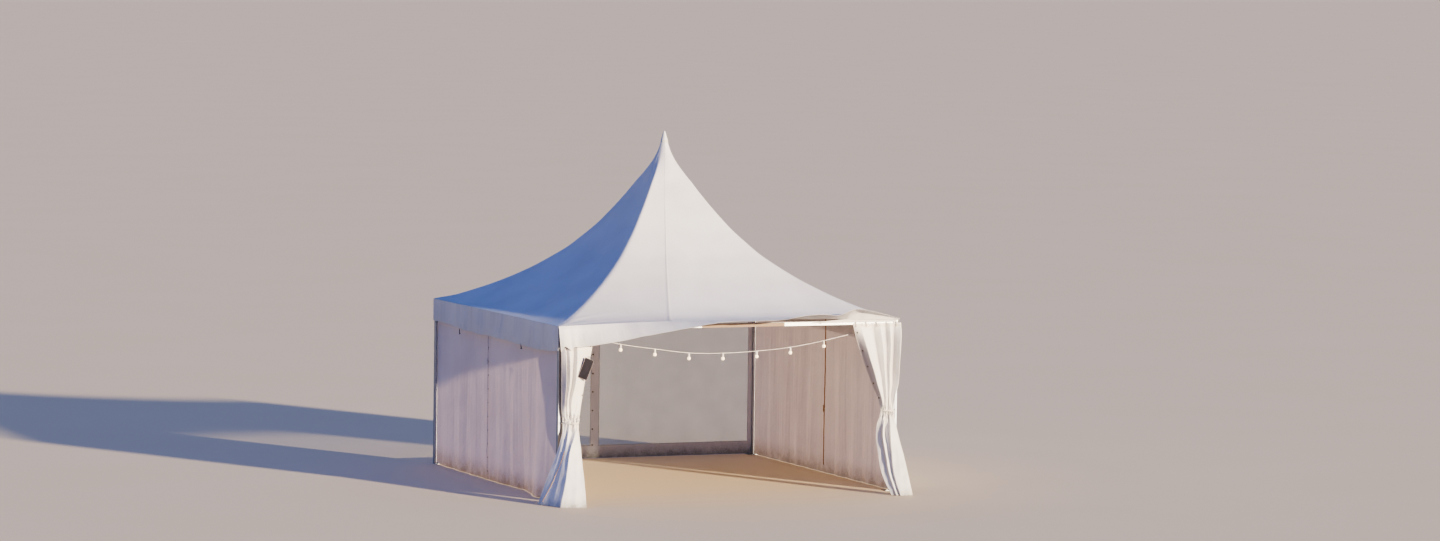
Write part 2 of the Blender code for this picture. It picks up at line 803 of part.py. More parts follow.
def bulb(number, path):
    """A small globe under its holder, hung from the cord."""
    first = path[0].x + BULB_FROM_LEFT
    last = path[-1].x - BULB_FROM_RIGHT
    x = first + (last - first) * (number - 1) / (BULB_COUNT - 1)
    before = max(p.x for p in path if p.x <= x)
    near = [(p, q) for p, q in zip(path, path[1:]) if p.x == before][0]
    place = near[0].lerp(near[1], (x - near[0].x) / (near[1].x - near[0].x))
    slope = abs((near[1].z - near[0].z) / (near[1].x - near[0].x))
    top = place.z - FESTOON_RADIUS * math.hypot(1, slope) - GAP - SOCKET_RADIUS * slope
    neck = top - SOCKET_TALL
    globe = neck - BULB_RADIUS * 0.92
    profile = [
        (SOCKET_RADIUS * 0.9, top),
        (SOCKET_RADIUS, top - SOCKET_EDGE),
        (SOCKET_RADIUS, neck),
        (BULB_RADIUS * 0.62, neck - SOCKET_EDGE),
    ]
    for angle in (35, 10, -15, -40, -65, -84):
        a = math.radians(angle)
        profile.append((BULB_RADIUS * math.cos(a), globe + BULB_RADIUS * math.sin(a)))
    rings = [circle((place.x, place.y, z), r, 10) for r, z in profile]
    return loft(f"bulb_{number}", rings, "warm_glass")


def hanger(name, place, next_place):
    """A short hook from the beam's foot to one end of the festoon cord."""
    side = -1 if place.x < 0 else 1
    ahead = (place - next_place).normalized()
    hook_x = place.x + side * (HOOK_RADIUS + GAP + FESTOON_RADIUS * abs(ahead.z))
    bend = (place.z + BEAM_FOOT) / 2
    rings = []
    for cy, cz, r in (
        (-BEAM_MID, WALL_TOP, HOOK_BASE_RADIUS),
        (-BEAM_MID, WALL_TOP - HOOK_BASE_TALL, HOOK_BASE_RADIUS),
        (place.y, bend, HOOK_RADIUS),
        (place.y, place.z - HOOK_BELOW_CORD, HOOK_RADIUS),
    ):
        rings.append(circle((hook_x, cy, cz), r, 8))
    return loft(name, rings, "galvanised_steel")


def plaque():
    """A thin board on the left curtain's inner edge, tipped a little."""
    centre_x = -HALF + PLAQUE_IN
    centre_z = BEAM_FOOT - PLAQUE_DOWN
    w, t = PLAQUE_WIDE / 2, PLAQUE_TALL / 2
    turn = math.radians(PLAQUE_TILT)
    rows = [curtain_row(LEFT_DRAPE, row) for row in range(1, TIE_ROW)]
    front = 0.0
    for high, low in zip(rows, rows[1:]):
        for share in spaced(0.0, 1.0, 25):
            line = [a.lerp(b, share) for a, b in zip(high, low)]
            for p, q in zip(line, line[1:]):
                for k in range(5):
                    near = p.lerp(q, k / 4) - Vector((centre_x, 0, centre_z))
                    across = near.x * math.cos(turn) - near.z * math.sin(turn)
                    along = near.x * math.sin(turn) + near.z * math.cos(turn)
                    if abs(across) < w and abs(along) < t:
                        front = min(front, near.y)
    back = front - CLOTH / 2
    made = box("number_plaque", (-w, -PLAQUE_THICK, -t), (w, 0.0, t), "slate_board", EDGE / 2)
    made.rotation_euler[1] = turn
    made.location = (centre_x, back, centre_z)
    return made


def centre_on_floor():
    """Moves the root so that the whole shape's middle is over the origin."""
    bpy.context.view_layer.update()
    graph = bpy.context.evaluated_depsgraph_get()
    corners = []
    for made in bpy.context.scene.objects:
        if made.type in ("MESH", "CURVE") and not made.hide_render:
            seen = made.evaluated_get(graph)
            mesh = seen.to_mesh()
            corners += [seen.matrix_world @ v.co for v in mesh.vertices]
            seen.to_mesh_clear()
    middle_x = (min(p.x for p in corners) + max(p.x for p in corners)) / 2
    middle_y = (min(p.y for p in corners) + max(p.y for p in corners)) / 2
    root.location = (-middle_x, -middle_y, 0.0)
    print("leg square's middle from the origin:", -middle_x, -middle_y)


for old in list(bpy.data.objects):
    bpy.data.objects.remove(old, do_unlink=True)

root = bpy.data.objects.new("marquee_root", None)
bpy.context.scene.collection.objects.link(root)

CORNERS = (
    ("front_left", -1, -1),
    ("front_right", 1, -1),
    ("rear_left", -1, 1),
    ("rear_right", 1, 1),
)
for corner, side_x, side_y in CORNERS:
    leg(f"leg_{corner}", side_x, side_y)
    bracket(f"bracket_{corner}", side_x, side_y)
    stay(f"stay_cable_{corner}", side_x, side_y)

beam("eave_beam_front", "x", -1)
beam("eave_beam_rear", "x", 1)
beam("eave_beam_left", "y", -1)
beam("eave_beam_right", "y", 1)

king_pole()
canopy()
peak_cap()

valance("valance_front", 0.0, front_hem, FRONT_LIFT)
valance("valance_right", math.pi / 2, right_hem)
valance("valance_rear", math.pi, plain_hem)
valance("valance_left", -math.pi / 2, left_hem)

inner_end = LEG_INNER - GAP
wall("wall_left_front", "y", -1, -inner_end, LEFT_SEAM - GAP, 5, LEFT_FOOT)
wall("wall_left_rear", "y", -1, LEFT_SEAM, inner_end, 4)
wall("wall_right_front", "y", 1, -inner_end, RIGHT_SEAM - GAP, 5)
wall("wall_right_rear", "y", 1, RIGHT_SEAM, inner_end, 5)

rear_border("wall_rear_left_border", -inner_end, REAR_SEAM - GAP)
rear_window("wall_rear_left_window", -inner_end, REAR_SEAM - GAP)
rear_border("wall_rear_right_border", REAR_SEAM, inner_end)
rear_window("wall_rear_right_window", REAR_SEAM, inner_end)

curtain("curtain_left", LEFT_DRAPE)
curtain("curtain_right", RIGHT_DRAPE)
tie("tie_left", LEFT_DRAPE)
tie("tie_right", RIGHT_DRAPE)

cord_path = festoon()
for n in range(1, BULB_COUNT + 1):
    bulb(n, cord_path)
hanger("festoon_hook_left", cord_path[0], cord_path[1])
hanger("festoon_hook_right", cord_path[-1], cord_path[-2])
plaque()

centre_on_floor()
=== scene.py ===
# %% [markdown]
# # A peaked marquee tent
# This lesson dresses a plain solid model of a 5 m square marquee. The solids arrive as a
# fixed frame of named nodes. Each soft or detailed part is built again here as a finer
# mesh in the same place, and gets a finish made of shader nodes. Everything is in metres.

# %% Load the frame
import math
import random
from functools import partial

import bmesh
import bpy
import numpy as np
from mathutils import Matrix, Vector, noise


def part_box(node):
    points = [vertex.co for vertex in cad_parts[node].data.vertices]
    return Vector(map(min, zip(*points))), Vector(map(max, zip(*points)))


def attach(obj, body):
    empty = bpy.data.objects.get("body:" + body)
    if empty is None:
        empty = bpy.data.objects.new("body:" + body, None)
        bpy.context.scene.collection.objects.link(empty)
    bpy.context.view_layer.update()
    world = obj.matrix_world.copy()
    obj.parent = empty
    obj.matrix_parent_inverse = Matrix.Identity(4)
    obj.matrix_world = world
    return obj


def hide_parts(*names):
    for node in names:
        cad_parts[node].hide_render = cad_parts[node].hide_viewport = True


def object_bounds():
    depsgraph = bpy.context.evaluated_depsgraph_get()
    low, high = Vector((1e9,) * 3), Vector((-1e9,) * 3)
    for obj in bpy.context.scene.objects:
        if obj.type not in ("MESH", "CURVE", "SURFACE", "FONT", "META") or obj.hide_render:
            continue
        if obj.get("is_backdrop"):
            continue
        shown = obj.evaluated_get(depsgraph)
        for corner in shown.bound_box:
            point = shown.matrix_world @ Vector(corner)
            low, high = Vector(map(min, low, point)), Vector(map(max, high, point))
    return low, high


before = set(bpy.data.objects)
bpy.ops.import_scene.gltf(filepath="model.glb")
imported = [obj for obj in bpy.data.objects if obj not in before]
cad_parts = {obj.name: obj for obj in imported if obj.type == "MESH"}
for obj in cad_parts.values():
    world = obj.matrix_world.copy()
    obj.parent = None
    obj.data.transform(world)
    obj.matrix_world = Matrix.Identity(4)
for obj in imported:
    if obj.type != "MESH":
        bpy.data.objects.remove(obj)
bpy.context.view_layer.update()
CORNERS = ("front_left", "front_right", "rear_left", "rear_right")
leg_boxes = [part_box(f"leg_{corner}") for corner in CORNERS]
leg_low = np.array([box[0] for box in leg_boxes]).min(axis=0)
leg_high = np.array([box[1] for box in leg_boxes]).max(axis=0)
CENTRE = Vector(((leg_low[0] + leg_high[0]) / 2, (leg_low[1] + leg_high[1]) / 2, 0.0))
print("the legs' middle is", [round(c, 4) for c in CENTRE], "from the origin")

# %% [markdown]
# ## Sizes
# The tent is easiest to describe from the middle of its four legs, with x to the right
# along the open front and y from the front to the rear. The main sizes are read from the
# frame, so the cloth always meets the legs and beams that carry it.

# %% Read the main sizes
FRAME = (leg_high[0] - leg_low[0]) / 2
HALF = FRAME + 0.01
POST = 0.065
LEG_INNER = FRAME - POST
BEAM_MID = FRAME - POST / 2
BEAM_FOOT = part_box("eave_beam_front")[0].z
BEAM_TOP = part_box("eave_beam_front")[1].z
EAVE = BEAM_TOP + 0.005
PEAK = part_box("peak_cap")[1].z
RISE = PEAK - EAVE
JOINT_GAP = 0.0003
WALL_TOP = BEAM_FOOT - JOINT_GAP
print(f"half side {HALF:.3f}, eave {EAVE:.3f}, peak {PEAK:.3f}")


def placed(points):
    """Points measured from the middle of the legs, moved to the frame's own origin."""
    return np.asarray(points, float) + np.array(CENTRE)


def local_box(node):
    """A node's lowest and highest corners, measured from the middle of the legs."""
    return [Vector(corner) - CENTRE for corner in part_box(node)]

# %% [markdown]
# ## The camera
# A product view is made from the same angle and distance as the reference, so shapes
# can be compared one to one. The camera stands far off with a long lens, a little above
# the peak, turned about 23 degrees to the left of the open front. Its three axes are
# written as a matrix, which keeps the small roll that Euler angles would hide.

# %% Place the camera
def add_object(name, data):
    """A new object in the scene, at the origin."""
    made = bpy.data.objects.new(name, data)
    bpy.context.scene.collection.objects.link(made)
    return made


LENS = 131.707
CAMERA_AT = Vector((-27.548, -68.055, 8.105))
CAMERA_RIGHT = Vector((0.92307345, -0.38438106, 0.01366039))
CAMERA_UP = Vector((0.01456947, 0.07043454, 0.99741))
CAMERA_AHEAD = Vector((0.38434767, 0.92048367, -0.07061649))
camera_data = bpy.data.cameras.new("camera")
camera_data.sensor_width = 36.0
camera_data.lens = LENS
camera_data.clip_end = 4000.0
camera = add_object("camera", camera_data)
axes = Matrix((CAMERA_RIGHT, CAMERA_UP, -CAMERA_AHEAD)).transposed().to_4x4()
camera.matrix_world = Matrix.Translation(CAMERA_AT + CENTRE) @ axes
bpy.context.scene.camera = camera
print("the camera stands", round(CAMERA_AT.length, 1), "m from the tent")

# %% [markdown]
# ## Colours and shader nodes
# Colours are picked as sRGB hex values, as on a paint card, but shaders work with linear
# light, so one function turns the one into the other. A second one adds a shader node
# with its settings, its plain values and its links. Nearly every real finish is a colour
# that drifts a little under a surface with a fine relief, so two more functions lay out
# those two groups of nodes, and each material below says only what is its own.

# %% Colour and node helpers
def hex_colour(code):
    """A linear RGBA colour from an sRGB hex code."""
    parts = [int(code[k:k + 2], 16) / 255 for k in (1, 3, 5)]
    linear = [c / 12.92 if c <= 0.04045 else ((c + 0.055) / 1.055) ** 2.4 for c in parts]
    return (*linear, 1.0)


def add_node(tree, kind, links=(), values=(), **settings):
    """Adds one node with its settings, plain socket values and links from other sockets.

    Kinds are written without the first part that they share, ShaderNode.
    """
    made = tree.nodes.new("ShaderNode" + kind)
    for key, value in settings.items():
        setattr(made, key, value)
    for key, value in dict(values).items():
        made.inputs[key].default_value = value
    for key, source in dict(links).items():
        tree.links.new(source, made.inputs[key])
    return made


def new_material(name):
    """An empty material with its output node and object coordinates, which are metres."""
    material = bpy.data.materials.new(name)
    material.use_nodes = True
    tree = material.node_tree
    tree.nodes.clear()
    output = add_node(tree, "OutputMaterial")
    metres = add_node(tree, "TexCoord").outputs["Object"]
    return material, tree, output, metres


def clouded(tree, places, scale, detail, colours, stops=(0.0, 1.0)):
    """A cloudy noise, and the colour that it makes between two hex colours."""
    clouds = add_node(tree, "TexNoise", {"Vector": places}, {"Scale": scale, "Detail": detail})
    tones = add_node(tree, "ValToRGB", {"Fac": clouds.outputs["Fac"]})
    for element, stop, colour in zip(tones.color_ramp.elements, stops, colours):
        element.position = stop
        element.color = hex_colour(colour)
    return clouds.outputs["Fac"], tones.outputs["Color"]


def surface(tree, output, links, values, relief=None, strength=1.0, distance=0.001):
    """The main shader, with its relief if it has one, joined to the output."""
    if relief is not None:
        depth = {"Strength": strength, "Distance": distance}
        bump = add_node(tree, "Bump", {"Height": relief}, depth)
        links = {**links, "Normal": bump.outputs["Normal"]}
    shader = add_node(tree, "BsdfPrincipled", links, values)
    tree.links.new(shader.outputs["BSDF"], output.inputs["Surface"])


print("paint-card mid grey is", round(hex_colour("#808080")[0], 3), "in linear light")

# %% [markdown]
# ## The floor
# A plain, pale, matte floor carries the tent and its soft shadow. With a camera this far
# off and this low, the floor has to reach more than a kilometre before it fills the
# picture, so it is a very large flat sheet. Painted screed is matte with faint clouds. Its
# faint warm glow keeps the shadow from turning blue under the cool surround.

# %% Lay the floor
FLOOR_REACH = 2500.0
floor_mesh = bpy.data.meshes.new("floor")
FLOOR_CORNERS = ((-1, -1), (1, -1), (1, 1), (-1, 1))
floor_points = [(x * FLOOR_REACH, y * FLOOR_REACH, 0.0) for x, y in FLOOR_CORNERS]
floor_mesh.from_pydata(floor_points, [], [(0, 1, 2, 3)])
floor = add_object("floor", floor_mesh)
floor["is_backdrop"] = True

floor_paint, tree, output, metres = new_material("painted_screed_rolled")
tones = clouded(tree, metres, 0.35, 4.0, ("#E0CFAF", "#E6D6B8"))[1]
glow = {"Roughness": 0.85, "Emission Color": hex_colour("#FFC27A"), "Emission Strength": 0.028}
surface(tree, output, {"Base Color": tones}, glow)
floor_mesh.materials.append(floor_paint)
print("floor", 2 * FLOOR_REACH, "m across")

# %% [markdown]
# ## The light
# White cloth shows its shape only where light changes across it. One warm key light
# comes from the front right and low, so the front is lit, the left side stays in shade
# and the light that enters the open front falls on the left wall from inside. The
# surround fills the shade, as open sky does: pale near the ground and blue higher up,
# and more neutral on the right.

# %% Set the lights
KEY_HEADING = Vector((-1.05, 2.1, -0.51))
key_data = bpy.data.lights.new("key_light", "SUN")
key_data.energy = 3.3
key_data.color = hex_colour("#FFEBCB")[:3]
key_data.angle = math.radians(2.0)
key = add_object("key_light", key_data)
key.rotation_euler = KEY_HEADING.to_track_quat("-Z", "Y").to_euler()

surround = bpy.data.worlds.new("surround")
surround.use_nodes = True
bpy.context.scene.world = surround
tree = surround.node_tree
tree.nodes.clear()
heading = add_node(tree, "TexCoord").outputs["Generated"]
parts = add_node(tree, "SeparateXYZ", {"Vector": heading})
low_sky = {"From Min": 0.0, "From Max": 0.55}
height = add_node(tree, "MapRange", {"Value": parts.outputs["Z"]}, low_sky)
glow = add_node(tree, "ValToRGB", {"Fac": height.outputs["Result"]})
glow.color_ramp.elements[0].color = hex_colour("#B2BCCF")
glow.color_ramp.elements[1].color = hex_colour("#3674DC")
side = {"From Min": -0.1, "From Max": 0.85}
right = add_node(tree, "MapRange", {"Value": parts.outputs["X"]}, side)
# On a colour mix, socket 0 is the share, 6 and 7 are its two colours, and 2 is the result.
tint_ends = {0: right.outputs["Result"], 6: glow.outputs["Color"]}
tint = add_node(tree, "Mix", tint_ends, {7: hex_colour("#A6B0C4")}, data_type="RGBA")
sky = add_node(tree, "Background", {"Color": tint.outputs[2]}, {"Strength": 0.38})
add_node(tree, "OutputWorld", {"Surface": sky.outputs["Background"]})
view = bpy.context.scene.view_settings
view.view_transform = "AgX"
view.look = "AgX - High Contrast"
view.exposure = 1.0
print("key light heads along", [round(c, 2) for c in KEY_HEADING.normalized()])

# %% [markdown]
# ## Making meshes by hand
# Nearly all pieces here are one of four forms: a thin sheet through a grid of points, a
# tube along a path, a turned shape, or an extruded outline. Each helper returns plain
# lists of points and faces, so several forms can be joined in one piece. The sheet is
# closed round its edges, because real cloth has a thickness that shows at a hem.

# %% Mesh helpers
TURN = 2 * math.pi


def finished_piece(name, parts, materials, smooth_angle=40.0):
    """One mesh object from several (points, faces) parts, riding on the tent."""
    points, faces, kinds = [], [], []
    for part_points, part_faces, *kind in parts:
        first = len(points)
        points.extend(part_points)
        faces.extend([tuple(first + k for k in face) for face in part_faces])
        kinds.extend([kind[0] if kind else 0] * len(part_faces))
    mesh = bpy.data.meshes.new(name)
    mesh.from_pydata([tuple(p) for p in points], [], faces)
    mesh.polygons.foreach_set("material_index", kinds)
    mesh.polygons.foreach_set("use_smooth", [True] * len(faces))
    mesh.set_sharp_from_angle(angle=math.radians(smooth_angle))
    for material in materials:
        mesh.materials.append(material)
    mesh.update()
    piece = add_object(name, mesh)
    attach(piece, "root")
    return piece


def ring_faces(rings, sides, closed=False):
    """Faces between rings of points, with flat ends unless the last ring meets the first."""
    total = rings * sides
    faces = []
    for k in range(rings if closed else rings - 1):
        for j in range(sides):
            a, b = k * sides + j, k * sides + (j + 1) % sides
            faces.append((a, b, (b + sides) % total, (a + sides) % total))
    if not closed:
        faces += [tuple(reversed(range(sides))), tuple(range(total - sides, total))]
    return faces


def tube(path, radius, sides=8, closed=False):
    """A round tube along a path. radius is one number, or one for each point."""
    path = [Vector(p) for p in path]
    count = len(path)
    radii = radius if hasattr(radius, "__len__") else [radius] * count
    ahead = []
    for k in range(count):
        after = path[(k + 1) % count] if closed else path[min(k + 1, count - 1)]
        before = path[k - 1] if closed else path[max(k - 1, 0)]
        ahead.append((after - before).normalized())
    side = ahead[0].orthogonal().normalized()
    points = []
    for k in range(count):
        side = (side - ahead[k] * side.dot(ahead[k])).normalized()
        up = ahead[k].cross(side)
        for j in range(sides):
            a = TURN * j / sides
            points.append(path[k] + (side * math.cos(a) + up * math.sin(a)) * radii[k])
    return points, ring_faces(count, sides, closed)


def turned_shape(profile, at, sides=24, turn=None):
    """A profile of (radius, height) pairs turned round an upright axis, then tilted by turn."""
    points = []
    for radius, up in profile:
        for j in range(sides):
            a = TURN * j / sides
            local = Vector((radius * math.cos(a), radius * math.sin(a), up))
            points.append(Vector(at) + (turn @ local if turn else local))
    return points, ring_faces(len(profile), sides)


def smooth_path(points, count):
    """Points evenly spread along a smooth line through the chosen points."""
    fine = []
    for i in range(len(points) - 1):
        a, b = Vector(points[max(i - 1, 0)]), Vector(points[i])
        c, d = Vector(points[i + 1]), Vector(points[min(i + 2, len(points) - 1)])
        for k in range(24):
            t = k / 24
            bend = (2 * a - 5 * b + 4 * c - d) * t * t + (3 * b - a - 3 * c + d) * t ** 3
            fine.append(0.5 * (2 * b + (c - a) * t + bend))
    fine.append(Vector(points[-1]))
    fine = np.array(fine)
    lengths = np.concatenate(([0.0], np.cumsum(np.linalg.norm(np.diff(fine, axis=0), axis=1))))
    even = np.linspace(0.0, lengths[-1], count)
    return np.stack([np.interp(even, lengths, fine[:, k]) for k in range(3)], axis=1)


def path_length(path):
    """The length of a line through points, in metres."""
    return float(np.linalg.norm(np.diff(np.asarray(path, float), axis=0), axis=1).sum())


print("an eight-sided tube of two rings has", len(tube([(0, 0, 0), (0, 0, 1)], 0.1)[1]), "faces")

# %% [markdown]
# ## White cable sheath and opal glass
# The festoon cable is soft PVC, extruded over its cores: smooth, satin and a little
# waxy, with marks from handling. The lamps are opal glass, blown and frosted inside, so
# the lit filament becomes an even warm glow that is stronger in the middle.

# %% Cable and lamp finishes
def plastic(name, colour, wear_and_painted_shade, roughness, grain_mm):
    """Moulded or extruded plastic: an even colour, faint dirt and a fine surface grain."""
    material, tree, output, metres = new_material(name)
    tones = clouded(tree, metres, 14.0, 5.0, (wear_and_painted_shade, colour), (0.35, 0.62))[1]
    close = {"Scale": 1000.0 / grain_mm, "Detail": 2.0}
    grain = add_node(tree, "TexNoise", {"Vector": metres}, close).outputs["Fac"]
    values = {"Roughness": roughness, "IOR": 1.5}
    surface(tree, output, {"Base Color": tones}, values, grain, 0.3, 0.0004)
    return material


cable_sheath = plastic("pvc_cable_sheath_extruded", "#F1EFEA", "#D8D4CC", 0.42, 4.0)
holder_plastic = plastic("white_lampholder_moulded", "#EFEDE8", "#DAD6CE", 0.35, 3.0)

opal_glass, tree, output, metres = new_material("opal_glass_blown")
warm = clouded(tree, metres, 60.0, 3.0, ("#FFE3B4", "#FFF3DC"))[1]
lit = {"Roughness": 0.12, "IOR": 1.52, "Emission Strength": 0.55, "Coat Weight": 0.4}
surface(tree, output, {"Base Color": warm, "Emission Color": warm}, lit)
print("finishes:", cable_sheath.name, holder_plastic.name, opal_glass.name)

# %% [markdown]
# ## The festoon cord
# A cord hangs across the open front just behind the beam, from one hook to another, in
# one sagging curve with slight kinks where the lamps pull it down. Its route was measured
# point by point, and a smooth line runs through those points. A curve object with a round
# bevel is the simplest true cord, and its own line is its centreline.

# %% Hang the cord
CORD_RADIUS = 0.004
CORD_Y = -FRAME + 0.11
CORD_SAG = 0.358
CORD_ROUTE = (
    (-0.905, 0.103), (-0.816, 0.274), (-0.617, 0.587), (-0.42, 0.788), (-0.223, 0.964),
    (-0.026, 1.0), (0.177, 0.947), (0.37, 0.832), (0.563, 0.617), (0.767, 0.321),
)
route = [(HALF * share, CORD_Y, BEAM_FOOT - CORD_SAG * drop) for share, drop in CORD_ROUTE]
cord_path = placed(smooth_path(route, 100))
cord_length = path_length(cord_path)

cord_curve = bpy.data.curves.new("festoon_cable", "CURVE")
cord_curve.dimensions = "3D"
cord_curve.bevel_depth = CORD_RADIUS
cord_curve.bevel_resolution = 3
cord_curve.use_fill_caps = True
spline = cord_curve.splines.new("POLY")
spline.points.add(len(cord_path) - 1)
for point, place in zip(spline.points, cord_path):
    point.co = (*place, 1.0)
cord_curve.materials.append(cable_sheath)
cord = add_object("festoon_cable", cord_curve)
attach(cord, "root")
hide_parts("festoon_cord")
print("cord length", round(cord_length, 3), "m")

# %% [markdown]
# ## Lamps on the cord
# Each lamp has a moulded holder that clips round the cord and a small round bulb. Both
# are turned shapes, as real ones are moulded in round tools: the holder gets two grip
# rings and a cord saddle, the bulb a neck that narrows into the holder.

# %% Hang the lamps
GLOBE_PROFILE = [
    (0.003, -0.0508), (0.0098, -0.0497), (0.0166, -0.0465), (0.0216, -0.041), (0.0244, -0.034),
    (0.025, -0.026), (0.0238, -0.018), (0.0208, -0.011), (0.0165, -0.006), (0.0138, -0.002),
    (0.0135, 0.004),
]
HOLDER_PROFILE = [
    (0.012, -0.044), (0.0128, -0.0462), (0.0142, -0.0455), (0.014, -0.0345), (0.0148, -0.033),
    (0.0148, -0.028), (0.0131, -0.0265), (0.0131, -0.02), (0.0146, -0.0185), (0.0146, -0.0145),
    (0.013, -0.013), (0.0128, -0.006), (0.0105, -0.0015), (0.0055, 0.0),
]
cord_things = []
for number in range(1, 9):
    node = f"bulb_{number}"
    low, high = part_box(node)
    middle = (low + high) / 2
    top = Vector((middle.x, middle.y, high.z))
    near = int(np.argmin(np.abs(cord_path[:, 0] - middle.x)))
    before, after = (Vector(cord_path[k]) for k in (near - 1, near + 1))
    ahead = (after - before).normalized()
    saddle_at = Vector(cord_path[near])
    saddle = [saddle_at + ahead * reach for reach in (-0.009, -0.007, 0.007, 0.009)]
    neck = [top - Vector((0, 0, 0.004)), Vector((top.x, top.y, saddle_at.z))]
    body = turned_shape(HOLDER_PROFILE, top, 20)
    clip = tube(saddle, [0.005, 0.0062, 0.0062, 0.005], 12)
    parts = [body, clip, tube(neck, 0.0058, 12)]
    holder = finished_piece(f"lamp_holder_{number}", parts, [holder_plastic])
    globe = turned_shape(GLOBE_PROFILE, top - Vector((0, 0, 0.0425)), 24)
    bulb = finished_piece(f"lamp_globe_{number}", [globe], [opal_glass])
    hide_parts(node)
    cord_things += [holder, bulb]
print(len(cord_things) // 2, "lamps")

# %% [markdown]
# ## Thin sheets of cloth
# Every cloth piece is a grid of points turned into a closed sheet: the grid moved half a
# thickness out, again half a thickness in, and a rim that joins both. The function also
# stores how far each point is along and up the cloth, in metres, so that the weave of the
# finish follows the cloth and not the room. Other marks, such as seams and dirt, are
# stored the same way and painted by the shader.

# %% The sheet helper
CLOTH = 0.0024


def grid_normals(grid, wrap=False):
    """The unit normal at each point of a grid of points."""
    if wrap:
        along = np.roll(grid, -1, axis=1) - np.roll(grid, 1, axis=1)
    else:
        along = np.gradient(grid, axis=1)
    normals = np.cross(along, np.gradient(grid, axis=0))
    return normals / np.maximum(np.linalg.norm(normals, axis=2, keepdims=True), 1e-12)


def sheet_part(grid, wrap=False, thick=CLOTH):
    """Points and faces of a closed sheet. thick is one number or one for each point."""
    rows, columns = grid.shape[:2]
    half = np.broadcast_to(np.asarray(thick, float), (rows, columns))[..., None] / 2
    normals = grid_normals(grid, wrap)
    points = np.concatenate([(grid + normals * way * half).reshape(-1, 3) for way in (1, -1)])
    n = rows * columns
    spans = columns if wrap else columns - 1
    i, j = np.meshgrid(np.arange(rows - 1), np.arange(spans), indexing="ij")
    a, b = i * columns + j, i * columns + (j + 1) % columns
    c, d = b + columns, a + columns
    faces = [np.stack((a, b, c, d), axis=-1), np.stack((a + n, d + n, c + n, b + n), axis=-1)]
    j = np.arange(spans)
    k = (j + 1) % columns
    last = (rows - 1) * columns
    faces.append(np.stack((k, j, j + n, k + n), axis=-1))
    faces.append(np.stack((last + j, last + k, last + k + n, last + j + n), axis=-1))
    if not wrap:
        a = np.arange(rows - 1) * columns
        b, c, d = a + columns, a + columns - 1, a + 2 * columns - 1
        faces.append(np.stack((a, b, b + n, a + n), axis=-1))
        faces.append(np.stack((d, c, c + n, d + n), axis=-1))
    faces = np.concatenate([f.reshape(-1, 4) for f in faces])
    return points, faces


def cloth_sheet(name, grid, material, slot, wrap=False, thick=CLOTH, **marks):
    """A piece made of one closed sheet."""
    grid = placed(grid)
    points, faces = sheet_part(grid, wrap, thick)
    first, second, third = (points[faces[:, k]] for k in range(3))
    if np.einsum("ij,ij->i", first, np.cross(second, third)).sum() < 0:
        faces = faces[:, ::-1]
    piece = finished_piece(name, [(points, faces.tolist())], [material], 60.0)
    along = np.linalg.norm(np.diff(grid, axis=1, prepend=grid[:, :1]), axis=2).cumsum(axis=1)
    up = np.linalg.norm(np.diff(grid, axis=0, prepend=grid[:1]), axis=2).cumsum(axis=0)
    for key, values in {"along": along, "up": up, **marks}.items():
        values = np.broadcast_to(np.asarray(values, float), grid.shape[:2]).ravel()
        mark = piece.data.attributes.new(key, "FLOAT", "POINT")
        mark.data.foreach_set("value", np.concatenate((values, values)).astype(np.float32))
    return piece


def cloth_area(grid, wrap=False):
    """The area of a grid of points, in square metres."""
    if wrap:
        grid = np.concatenate((grid, grid[:, :1]), axis=1)
    a, b, c, d = grid[:-1, :-1], grid[:-1, 1:], grid[1:, 1:], grid[1:, :-1]
    return float(np.linalg.norm(np.cross(c - a, d - b), axis=2).sum() / 2)


print("cloth is drawn", 1000 * CLOTH, "mm thick")

# %% [markdown]
# ## PVC-coated polyester
# Marquee cloth is a polyester weave, knife-coated with white PVC and lacquered. The eye
# reads a satin white that is never quite even: faint clouds of dust, a greyer line where
# panels are welded, a slightly yellowed double hem, and green-grey splashes near the
# ground. Light also comes through it, warmer than it went in, so the shader mixes a
# glossy coat with a translucent one. The threads are about 1.2 mm apart, far too fine to
# show at this distance, so the weave is drawn ten times coarser and very shallow.

# %% The cloth finish
THREAD_PITCH = 0.012


def attribute(tree, name):
    """A mark that is stored on the cloth's points, such as a seam or dirt."""
    return add_node(tree, "Attribute", attribute_name=name).outputs["Fac"]


def blended(tree, share, under, over):
    """Two colours mixed by a share that varies over the surface."""
    mixed = add_node(tree, "Mix", data_type="RGBA")
    for socket, value in ((0, share), (6, under), (7, over)):
        if isinstance(value, (tuple, float)):
            mixed.inputs[socket].default_value = value
        else:
            tree.links.new(value, mixed.inputs[socket])
    return mixed.outputs[2]


def combined(tree, operation, *values):
    """One arithmetic step on numbers that vary over the surface."""
    step = add_node(tree, "Math", operation=operation)
    for socket, value in enumerate(values):
        if isinstance(value, (int, float)):
            step.inputs[socket].default_value = value
        else:
            tree.links.new(value, step.inputs[socket])
    return step.outputs[0]


